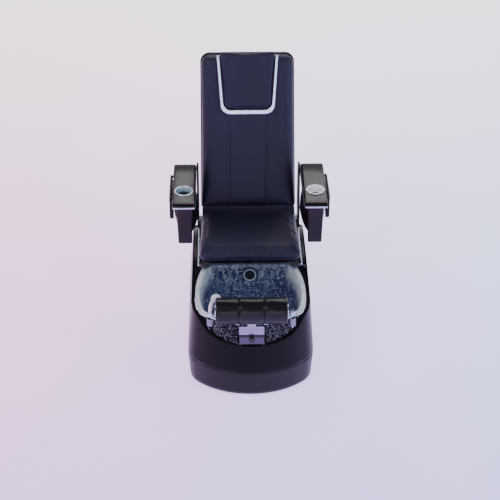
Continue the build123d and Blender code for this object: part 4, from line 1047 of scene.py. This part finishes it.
def make_seat():
    """Seat pad: waterfall nose, crowned top and sewn side edges."""
    side_line = [(0.380, 0.5415), (0.300, 0.5412), (0.120, 0.5412), (0.030, 0.5425), (-0.030, 0.560),
                 (-0.060, 0.585), (-0.056, 0.608), (-0.020, 0.621), (0.060, 0.626), (0.200, 0.621),
                 (0.330, 0.617), (0.372, 0.611), (0.380, 0.590)]
    outline = resampled([p.to_2d() for p in curved([Vector(p).to_3d() for p in side_line], 6)], 0.02)

    def to_space(y, z, depth):
        half = seat_half(y) - 0.005
        return at((depth / 0.5 * 2 - 1) * half, y, z)

    seat = plate("seat_pad", outline, 0.5, 0.030, to_space, LOOKS["upholstery"], 6)

    def allowed(x, y, z):
        above = unit((z - PAN_TOP - 0.010) / 0.05)
        edge = unit((seat_half(y + CENTRE_Y) - abs(x)) / 0.05)
        front = unit((0.384 - y - CENTRE_Y) / 0.04)
        return 0.0015 + (0.0035 + 0.0065 * edge) * above * (0.35 + 0.65 * front)

    inflate(seat, 0.0065, 4.0, allowed)
    seam = 0.216

    def inward(points):
        return np.tile([0.0, 0.0, 1.0], (len(points), 1)) * (points[:, 2:3] > 0.585)

    groove(seat, lambda x, y, z: abs(abs(x) - seam) + (0.03 if y > 0.16 else 0.0), 0.0013, 0.0036, inward)
    for side in (-1, 1):
        starts = [Vector((side * (seam + 0.0055), 0.150 - 0.008 * k, 0.70)) for k in range(46)]
        path = surface_path(seat, [s for s in starts if s.y > -0.222], Vector((0, 0, -1)))
        stitches(f"seat_stitches_{'right' if side > 0 else 'left'}", path, Vector((0, 0, 1)), "seat_carriage",
                 "upholstery")
    finish_piece(seat, "seat_carriage", "upholstery", "seat_cushion")


# ---- back -----------------------------------------------------------------------------------
def back_point(x, v, w):
    """Point of the back from its own frame: v up along it, w rearwards through it."""
    return HINGE + Vector((x, w * math.cos(LEAN) + v * math.sin(LEAN),
                           -w * math.sin(LEAN) + v * math.cos(LEAN)))


def back_frame(y, z):
    """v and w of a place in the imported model's frame."""
    return ((y - HINGE.y) * math.sin(LEAN) + (z - HINGE.z) * math.cos(LEAN),
            (y - HINGE.y) * math.cos(LEAN) - (z - HINGE.z) * math.sin(LEAN))


BACK_OUT = Vector((0, -math.cos(LEAN), math.sin(LEAN)))


def back_outline(inward, low):
    """Outline of the back, which narrows a little towards its rounded top."""
    right = [(0.244 - inward, low + inward), (0.240 - inward, 0.500), (0.239 - inward, BACK_TOP - inward)]
    mirrored = [(-x, v) for x, v in reversed(right)]
    corners = mirrored[2:] + right + mirrored[:2]
    radii = [0.024, 0.024, 0.0, 0.045, 0.045, 0.0]
    return resampled(rounded(corners, radii), 0.02)


def make_back():
    """Back pad in three sewn panels."""
    back = plate("back_pad", back_outline(0.005, 0.046), PAD_DEPTH - 0.007, (0.028, 0.010),
                 lambda x, v, depth: back_point(x, v, BACK_FRONT + 0.006 + depth), LOOKS["upholstery"], 6)

    def allowed(x, y, z):
        v, w = back_frame(y, z)
        front = unit((0.020 - w) / 0.03)
        under_pillow = 0.45 if v > 0.545 and abs(x) < 0.155 else 1.0
        edge = unit((0.24 - abs(x)) / 0.05) * unit((v - 0.05) / 0.06)
        return 0.0012 + (0.002 + 0.0065 * edge) * front * under_pillow

    inflate(back, 0.0065, 4.0, allowed)

    def inward(points):
        through = -((points - np.array(HINGE)) @ np.array(BACK_OUT))
        front = (through < 0.0).astype(float)[:, None]
        return np.tile(np.array(BACK_OUT), (len(points), 1)) * front

    groove(back, lambda x, y, z: abs(abs(x) - BACK_SEAM_X), 0.0042, 0.0050, inward)
    for side in (-1, 1):
        for row, offset in enumerate((-0.0062, 0.0062)):
            starts = [back_point(side * BACK_SEAM_X + offset, 0.075 + 0.0075 * k, -0.12) for k in range(62)]
            path = surface_path(back, starts, -BACK_OUT)
            word = "right" if side > 0 else "left"
            stitches(f"back_stitches_{word}_{row + 1}", path, BACK_OUT, "backrest", "upholstery")
    finish_piece(back, "backrest", "upholstery", "back_cushion")


def make_gusset():
    """Soft strip that closes the crease between the seat's rear edge and the foot of the back."""
    path = [(0.345, 0.6190), (0.362, 0.6175), (0.378, 0.6110), (0.392, 0.6030), (0.404, 0.6040)]
    foot = back_point(0, 0.066, BACK_FRONT + 0.010)
    path += [(foot.y + CENTRE_Y - 0.004, foot.z - 0.012), (foot.y + CENTRE_Y, foot.z)]
    line = curved([Vector((y, z, 0)) for y, z in path], 6)
    rows = []
    for k in range(41):
        share = 2 * k / 40 - 1
        half = 0.236 * share
        drop = 0.010 * abs(share) ** 8
        rows.append([at(half, p.x, p.y - drop - 0.0035 * math.cos(3 * share)) for p in line])
    gusset = skin("seat_back_gusset", rows, LOOKS["upholstery"], close_ring=False)
    wall = gusset.modifiers.new("wall", "SOLIDIFY")
    wall.thickness = 0.006
    wall.offset = 0.0
    apply_modifiers(gusset)
    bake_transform(gusset)


def pillow_outline(grow, low=0.565, top=None):
    """Outline of the head pillow, wider at its top, grown sideways and down."""
    top = BACK_TOP + 0.012 if top is None else top
    corners = [(-0.119 - grow, low - grow), (0.119 + grow, low - grow), (0.1425 + grow, top),
               (-0.1425 - grow, top)]
    return rounded(corners, [0.034 + grow, 0.034 + grow, 0.010, 0.010], 10)


def make_pillow():
    """Head pillow with a piped edge, in its bright U-shaped frame."""
    pillow = plate("head_pillow", resampled(pillow_outline(-0.003), 0.012), 0.0205, (0.0095, 0.002),
                   lambda x, v, depth: back_point(x, v, BACK_FRONT - 0.0205 + depth), LOOKS["upholstery"], 5)

    def allowed(x, y, z):
        w = back_frame(y, z)[1]
        front = unit((BACK_FRONT - 0.004 - w) / 0.010)
        return 0.0008 + 0.0062 * front

    inflate(pillow, 0.0042, 4.0, allowed)
    finish_piece(pillow, "backrest", "upholstery", "headrest_pillow")

    top = BACK_TOP - 0.006
    outer_line = pillow_outline(0.016, 0.552, BACK_TOP + 0.030)
    inner_line = pillow_outline(0.0008, 0.565, BACK_TOP + 0.030)
    outer_line = trim_line(outer_line, top)
    inner_line = trim_line(inner_line, top)
    rows = []
    for (ox, ov), (ix, iv) in zip(outer_line, inner_line):
        row = []
        for k in range(13):
            angle = math.pi * k / 12
            share = 0.5 - 0.5 * math.cos(angle)
            height = 0.0135 * min(1.0, 1.5 * math.sin(angle)) ** 0.75
            x, v = ix + (ox - ix) * share, iv + (ov - iv) * share
            row.append(back_point(x, v, BACK_FRONT + 0.0005 - height))
        rows.append(row)
    trim = skin("headrest_frame", rows, BRIGHT_TRIM, caps=True)
    finish_piece(trim, "backrest", "chrome", "headrest_trim")


def trim_line(outline, top, count=96):
    """The part of a pillow outline that runs down one side, across the bottom and up the other."""
    area = sum(a.x * b.y - b.x * a.y for a, b in zip(outline, outline[1:] + outline[:1]))
    ordered = outline if area > 0 else list(reversed(outline))
    dense = resampled(ordered, 0.002)
    kept = [p for p in dense if p.y < top]
    start = max(range(len(kept)), key=lambda i: (kept[i] - kept[i - 1]).length)
    kept = kept[start:] + kept[:start]
    points = np.array([tuple(p) for p in kept])
    along = np.concatenate([[0], np.cumsum(np.linalg.norm(points[1:] - points[:-1], axis=1))])
    wanted = np.linspace(0, along[-1], count)
    return [tuple(float(np.interp(s, along, points[:, axis])) for axis in (0, 1)) for s in wanted]


def make_back_shell():
    """Moulded rear shell of the back with a raised panel and rows of vents."""
    front = BACK_FRONT + PAD_DEPTH
    depth = BACK_REAR - front
    shell = plate("back_shell_skin", back_outline(0.001, 0.042), depth, (0.002, 0.030),
                  lambda x, v, d: back_point(x, v, front + d), LOOKS["gloss_black"], 8)
    finish_piece(shell, "backrest", "gloss_black", "back_shell")
    corners = [(-0.150, 0.130), (0.150, 0.130), (0.160, 0.700), (-0.160, 0.700)]
    panel = plate("back_shell_panel", resampled(rounded(corners, 0.040), 0.02), 0.0026, (0.0005, 0.0020),
                  lambda x, v, d: back_point(x, v, BACK_REAR - 0.0012 + d), LOOKS["black_plastic"], 4)
    finish_piece(panel, "backrest", "black_plastic")
    slots = []
    for k in range(9):
        v = 0.560 + 0.012 * k
        line = oblong((-0.060, v), (0.060, v + 0.005), 0.0024, 4)
        slots.append(plate("slot", line, 0.0012, 0.0004,
                           lambda x, v, d: back_point(x, v, BACK_REAR + 0.0008 + d), LOOKS["rubber"], 2))
    finish_piece(joined("back_shell_vents", slots), "backrest", "black_plastic")


# ---- arms -------------------------------------------------------------------------------------
def slab_top(y):
    """Height of the arm's sloping top."""
    return SLAB_FRONT_TOP + (y - SLAB_FRONT) * math.tan(SLAB_SLOPE)


def cup_frame(side):
    """Axes at the cup's centre on the armrest's top, square to its slope."""
    centre = at(side * CUP[0], CUP[1], slab_top(CUP[1]))
    return Matrix.Translation(centre) @ Matrix.Rotation(SLAB_SLOPE, 4, "X")


def make_armrest(side, word):
    """Gloss arm top with a rolled front edge, a cup hole and lugs for the tray."""
    crown = [Vector(p).to_3d() for p in ((0.200, slab_top(0.200)), (0.270, 0.8895), (0.330, 0.8905),
                                         (0.378, 0.885), (0.402, 0.866))]
    top = [p.to_2d() for p in curved(crown, 7)]
    roll = ((0.0, 0.8570), (0.0025, 0.8605), (0.009, 0.8645), (0.020, 0.8674),
            (0.036, slab_top(SLAB_FRONT + 0.036)))
    nose = [Vector((SLAB_FRONT + back, z)) for back, z in roll]
    outline = [Vector((SLAB_FRONT, SLAB_LOW))] + nose + top
    outline += [Vector((0.400, SLAB_LOW))]
    eased = rounded([tuple(p) for p in outline], [0.003] + [0.0] * (len(nose) + len(top)) + [0.003], 5)
    slab = plate(f"arm_top_{word}", resampled(eased, 0.012), SLAB_OUT - SLAB_IN, 0.0055,
                 lambda y, z, d: at(side * (SLAB_IN + d), y, z), LOOKS["arm_gloss"], 5)
    hole = lathe("hole", ((0.0, -0.08), (CUP_BODY + 0.0006, -0.08), (CUP_BODY + 0.0006, 0.03), (0.0, 0.03)),
                 LOOKS["arm_gloss"], cup_frame(side), 64, close=False)
    carve(slab, hole)
    shade_by_angle(slab)
    lugs = []
    for y in (TRAY_FRONT - TRAY_LUG, TRAY_REAR + 0.002):
        line = oblong((SLAB_OUT - 0.006, TRAY_Z - 0.005), (TRAY_X + 0.006, TRAY_Z + 0.006),
                      [0.0, 0.005, 0.005, 0.0], 5)
        lugs.append(plate("lug", line, 0.012, 0.0012, lambda x, z, d, y=y: at(side * x, y + d, z),
                          LOOKS["arm_gloss"], 3))
    finish_piece(slab, f"arm_{word}", "arm_gloss", f"armrest_{word}")
    finish_piece(joined(f"arm_lugs_{word}", lugs), f"arm_{word}", "arm_gloss")


def shade_by_angle(made, limit=math.radians(35)):
    """Smooth shading that keeps sharp edges crisp."""
    shape = bmesh.new()
    shape.from_mesh(made.data)
    for edge in shape.edges:
        edge.smooth = len(edge.link_faces) == 2 and edge.calc_face_angle(0.0) < limit
    shape.to_mesh(made.data)
    shape.free()


def make_pod(side, word):
    """Boat-shaped arm body closed under the slab, with its tapering front post and bright strip."""
    levels = ((0.852, 0.034, -0.006, 0.320), (0.828, 0.045, -0.005, 0.344), (0.800, 0.052, -0.002, 0.356),
              (0.768, 0.058, 0.000, 0.350), (0.735, 0.060, 0.002, 0.332), (0.712, 0.055, 0.005, 0.306),
              (0.690, 0.047, 0.010, 0.274), (0.674, 0.035, 0.016, 0.236), (0.666, 0.024, 0.024, 0.196),
              (0.6645, 0.010, 0.060, 0.150))
    rows = []
    for height, half, front, rear in levels:
        middle, reach = (front + rear) / 2, (rear - front) / 2
        rows.append([at(side * (0.310 + half * math.cos(angle)), middle + reach * math.sin(angle), height)
                     for angle in turns(72)])
    faces = skin_faces(len(rows), 72)
    faces.append(tuple((len(rows) - 1) * 72 + k for k in range(72)))
    faces.append(tuple(reversed(range(72))))
    pod = piece(f"arm_body_{word}", [p for row in rows for p in row], faces, LOOKS["arm_gloss"])
    wall = pod.modifiers.new("wall", "SOLIDIFY")
    wall.thickness = 0.003
    wall.offset = -1
    apply_modifiers(pod)
    shade_by_angle(pod)
    finish_piece(pod, f"arm_{word}", "arm_gloss", f"arm_pod_{word}")
    stations = ((0.648, 0.0335, 0.0130, 0.3155, -0.0040), (0.652, 0.0338, 0.0132, 0.3155, -0.0041),
                (0.700, 0.0348, 0.0137, 0.3157, -0.0050), (0.780, 0.0370, 0.0143, 0.3161, -0.0066),
                (0.848, 0.0390, 0.0149, 0.3164, -0.0079))
    rows = []
    for number, (height, half_x, half_y, x, y) in enumerate(stations):
        ease = 0.004 if number == 0 else 0.0
        line = rounded([(-half_x + ease, -half_y + ease), (half_x - ease, -half_y + ease),
                        (half_x - ease, half_y - ease), (-half_x + ease, half_y - ease)], 0.0055, 5)
        rows.append([at(side * (x + p.x), y + p.y, height) for p in line])
    post = skin(f"arm_post_{word}", rows, LOOKS["arm_gloss"], caps=True)
    shade_by_angle(post)
    finish_piece(post, f"arm_{word}", "arm_gloss")
    line = oblong((0.266, SLAB_LOW - 0.008), (0.373, SLAB_LOW), 0.0016, 4)
    strip = plate(f"arm_strip_{word}", line, 0.013, 0.001,
                  lambda x, z, d: at(side * x, SLAB_FRONT - 0.001 + d, z), BRIGHT_TRIM, 3)
    finish_piece(strip, f"arm_{word}", "chrome", f"arm_trim_{word}")


def make_tray(side, word):
    """Folded side tray: a thick rounded panel with a raised inner field, hanging from its barrel."""
    corners = [(TRAY_FRONT, TRAY_SHOULDER), (TRAY_REAR, TRAY_SHOULDER), (TRAY_REAR - 0.003, TRAY_LOW),
               (TRAY_FRONT + 0.003, TRAY_LOW)]
    outline = resampled(rounded(corners, [0.005, 0.005, 0.028, 0.028], 8), 0.012)
    panel = plate("panel", outline, TRAY_OUT - TRAY_IN, 0.0065,
                  lambda y, z, d: at(side * (TRAY_IN + d), y, z), LOOKS["arm_gloss"], 5)
    inner = plate("inner", inset(outline, 0.016), 0.0016, 0.0012,
                  lambda y, z, d: at(side * (TRAY_OUT - 0.0008 + d), y, z - 0.002), LOOKS["arm_gloss"], 3)
    line = oblong((TRAY_FRONT + 0.004, TRAY_SHOULDER - 0.008), (TRAY_REAR - 0.004, TRAY_Z), 0.002)
    neck = plate("neck", resampled(line, 0.02), 0.010, 0.002,
                 lambda y, z, d: at(side * (TRAY_X - 0.004 + d), y, z), LOOKS["arm_gloss"], 3)
    middle = (TRAY_FRONT + TRAY_REAR) / 2
    turn = Matrix.Translation(at(side * TRAY_X, middle, TRAY_Z)) @ Matrix.Rotation(math.pi / 2, 4, "X")
    half = (TRAY_REAR - TRAY_FRONT) / 2
    end = [(0.0, half + TRAY_LUG), (0.003, half + TRAY_LUG), (0.003, half), (0.0060, half),
           (0.007, half - 0.001)]
    profile = [(radius, -reach) for radius, reach in end] + end[::-1]
    barrel = lathe("barrel", profile, LOOKS["arm_gloss"], turn, 24, close=False)
    made = joined(f"tray_{word}", [panel, inner, neck, barrel])
    shade_by_angle(made)
    finish_piece(made, f"tray_{word}", "arm_gloss", f"side_tray_{word}")


def make_cup():
    """Fixed cup well in the left arm: bright bead, pale lining, and a floor and lower wall painted darker as
    shade deep in the well.
    """
    frame_of = cup_frame(-1)
    bead = []
    for k in range(13):
        angle = math.pi * k / 12
        bead.append((CUP_RING - 0.0042 + 0.0042 * math.cos(angle), 0.0002 + 0.0040 * math.sin(angle)))
    ring = lathe("cup_ring", [*bead, (CUP_RING - 0.0100, -0.0015), (CUP_BODY, -0.0015), (CUP_BODY, 0.0)],
                 BRIGHT_TRIM, frame_of, 72)
    wall = CUP_BODY - 0.0025
    middle = -0.62 * CUP_DEPTH
    profile = [(CUP_BODY, -0.001), (CUP_BODY, middle), (wall, middle), (wall, -0.016),
               (wall + 0.0005, -0.004), (wall + 0.0015, 0.0022)]
    lining = lathe("cup_lining", profile, CUP_LINING, frame_of, 72)
    # Floor and lower wall in the darker colour: painted shade deep in the well.
    lifted = ((CUP_BODY, 0.004), (CUP_BODY - 0.004, 0.0), (0.0, 0.0), (0.0, 0.003), (wall - 0.008, 0.003),
              (wall - 0.002, 0.006), (wall, 0.012))
    profile = [(CUP_BODY, middle), *((radius, -CUP_DEPTH + lift) for radius, lift in lifted), (wall, middle)]
    floor = lathe("cup_floor", profile, CUP_FLOOR_SHADE, frame_of, 72)
    finish_piece(floor, "arm_left", "satin_metal")
    finish_piece(ring, "arm_left", "satin_metal", "cup_holder")
    finish_piece(lining, "arm_left", "satin_metal")


def make_finger_bowl():
    """White finger bowl with a scalloped rim and fluted sides."""
    outer = CUP_RING + 0.0008

    def scallop(r, height, angle):
        share = max(0.0, (r - 0.024) / (outer - 0.024))
        return r - 0.0030 * share * (0.5 - 0.5 * math.cos(8 * angle))

    profile = [(0.0, -0.034), (0.026, -0.0335), (0.0330, -0.028), (0.0370, -0.014), (0.0380, -0.002),
               (0.0400, 0.0006), (outer - 0.001, 0.0010), (outer, 0.0030), (outer - 0.001, 0.0055),
               (0.0420, 0.0060), (0.0372, 0.0040),
               (0.0345, -0.004), (0.0325, -0.016), (0.0290, -0.0255), (0.0225, -0.0300), (0.0, -0.0305)]
    bowl = lathe("finger_dish", profile, LOOKS["white_plastic"], cup_frame(1), 96, scallop, close=False)
    ribs = []
    for k in range(8):
        angle = 2 * math.pi * k / 8 + math.pi / 8
        line = [cup_frame(1) @ Vector((r * math.cos(angle), r * math.sin(angle), z))
                for r, z in ((0.008, -0.0300), (0.020, -0.0296), (0.0272, -0.0255), (0.0305, -0.015),
                             (0.0325, -0.005))]
        ribs.append(tube("rib", curved(line, 5), 0.0011, LOOKS["white_plastic"], 8))
    made = joined("finger_dish", [bowl, *ribs])
    finish_piece(made, "finger_bowl", "white_plastic", "finger_bowl")


def make_cheek(side, word):
    """Slim gloss cheek over the side plate, from the seat up to the arm's hinge."""
    corners = [(0.384, 0.500), (0.474, 0.500), (0.478, 0.600), (0.464, 0.822), (0.450, 0.866), (0.412, 0.866),
               (0.396, 0.822), (0.380, 0.600)]
    radii = [0.008, 0.008, 0.060, 0.060, 0.010, 0.010, 0.060, 0.060]
    line = resampled(rounded(corners, radii, 6), 0.02)
    cheek = plate(f"cheek_{word}", line, 0.0048, 0.0020, lambda y, z, d: at(side * (0.2571 + d), y, z),
                  LOOKS["gloss_black"], 4)
    turn = Matrix.Translation(at(side * 0.2618, 0.430, 0.838)) @ Matrix.Rotation(side * math.pi / 2, 4, "Y")
    cap = lathe("cap", ((0.0, -0.002), (0.0105, -0.002), (0.0100, 0.0010), (0.0080, 0.0018), (0.0, 0.0022)),
                LOOKS["chrome"], turn, 32, close=False)
    finish_piece(cheek, "seat_carriage", "gloss_black", "riser_covers")
    cap.name = f"hinge_cap_{word}"
    finish_piece(cap, "seat_carriage", "chrome")


def make_side_strips():
    """Bright strips along both sides of the seat."""
    for side, word in ((-1, "left"), (1, "right")):
        line = resampled(oblong((-0.019, 0.5195), (0.359, 0.5345), 0.0072), 0.02)
        strip = plate(f"seat_strip_{word}", line, 0.0068, (0.0005, 0.0026),
                      lambda y, z, d, side=side: at(side * (0.2501 + d), y, z), BRIGHT_TRIM, 4)
        finish_piece(strip, "seat_carriage", "chrome", "seat_trims")


# ---- studio ----------------------------------------------------------------------------------------
# Sky colour against the sine of the height above the horizon.
SKY = ((0.0, (0.90, 0.86, 0.96)), (0.30, (0.80, 0.77, 0.90)), (0.62, (0.34, 0.33, 0.42)),
       (1.0, (0.30, 0.29, 0.38)))


def make_studio():
    floor = piece("studio_floor", [(-30, -30, 0), (30, -30, 0), (30, 30, 0), (-30, 30, 0)], [(0, 1, 2, 3)],
                  floor_look(), smooth=False)
    world = bpy.data.worlds.new("studio")
    world.use_nodes = True
    tree = world.node_tree
    ground = tree.nodes["Background"]
    ground.inputs["Strength"].default_value = 0.62
    axes = tree.nodes.new("ShaderNodeSeparateXYZ")
    tree.links.new(tree.nodes.new("ShaderNodeTexCoord").outputs["Generated"], axes.inputs[0])
    sky = tree.nodes.new("ShaderNodeValToRGB")
    tree.links.new(axes.outputs["Z"], sky.inputs["Fac"])
    tree.links.new(sky.outputs["Color"], ground.inputs["Color"])
    sky.color_ramp.elements.new(0.5)
    sky.color_ramp.elements.new(0.5)
    for element, (place, colour) in zip(sky.color_ramp.elements, SKY):
        element.position, element.color = place, (*colour, 1.0)
    bpy.context.scene.world = world
    target = Vector((0, -0.1, 0.6))
    lamps = (("key", (-3.2, -3.4, 5.2), 3.2, 190, (1.0, 0.94, 0.96)),
             ("fill", (4.2, -2.6, 3.6), 3.0, 120, (0.86, 0.92, 1.0)),
             ("back", (0.6, 4.2, 5.4), 3.6, 170, (1.0, 0.96, 0.98)),
             ("front", (0.0, -6.0, 1.8), 2.4, 40, (0.90, 0.92, 1.0)))
    for name, place, size, power, colour in lamps:
        light = bpy.data.lights.new(name, "AREA")
        light.energy, light.size, light.color = power, size, colour
        lamp = bpy.data.objects.new(name, light)
        lamp.location = place
        lamp.rotation_euler = (target - Vector(place)).to_track_quat("-Z", "Y").to_euler()
        bpy.context.scene.collection.objects.link(lamp)
    camera = bpy.data.objects.new("camera", bpy.data.cameras.new("camera"))
    camera.data.lens = 110
    camera.data.sensor_width = 36
    aim = Vector((0, -CENTRE_Y, 0.6))
    turn, rise, distance = math.radians(-1.2), math.radians(29.2), 7.49
    away = Vector((math.sin(turn) * math.cos(rise), -math.cos(turn) * math.cos(rise), math.sin(rise)))
    camera.location = aim + away * distance
    camera.rotation_euler = (-away).to_track_quat("-Z", "Y").to_euler()
    camera.data.clip_end = 100
    bpy.context.scene.collection.objects.link(camera)
    bpy.context.scene.camera = camera


def dress_nodes():
    """Give every CAD node that stays its procedural material, by the slot it already has."""
    own = {"footrest_track": BRACKET, "footrest_carrier": BRACKET, "jet_cap": LOOKS["black_plastic"],
           "mixer_valve": LOOKS["chrome"]}
    for name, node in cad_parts.items():
        for holder in node.material_slots:
            holder.material = own.get(name, LOOKS[holder.material.name.split(".")[0]])


make_studio()
dress_nodes()
make_shell()
make_vines(make_bowl(), make_apron())
make_jet_ring()
make_shower()
make_footrest()
make_bracket_bands()
make_seat()
make_back()
make_gusset()
make_pillow()
make_back_shell()
make_side_strips()
for arm_side, arm_word in ((-1, "left"), (1, "right")):
    make_armrest(arm_side, arm_word)
    make_pod(arm_side, arm_word)
    make_tray(arm_side, arm_word)
    make_cheek(arm_side, arm_word)
make_cup()
make_finger_bowl()
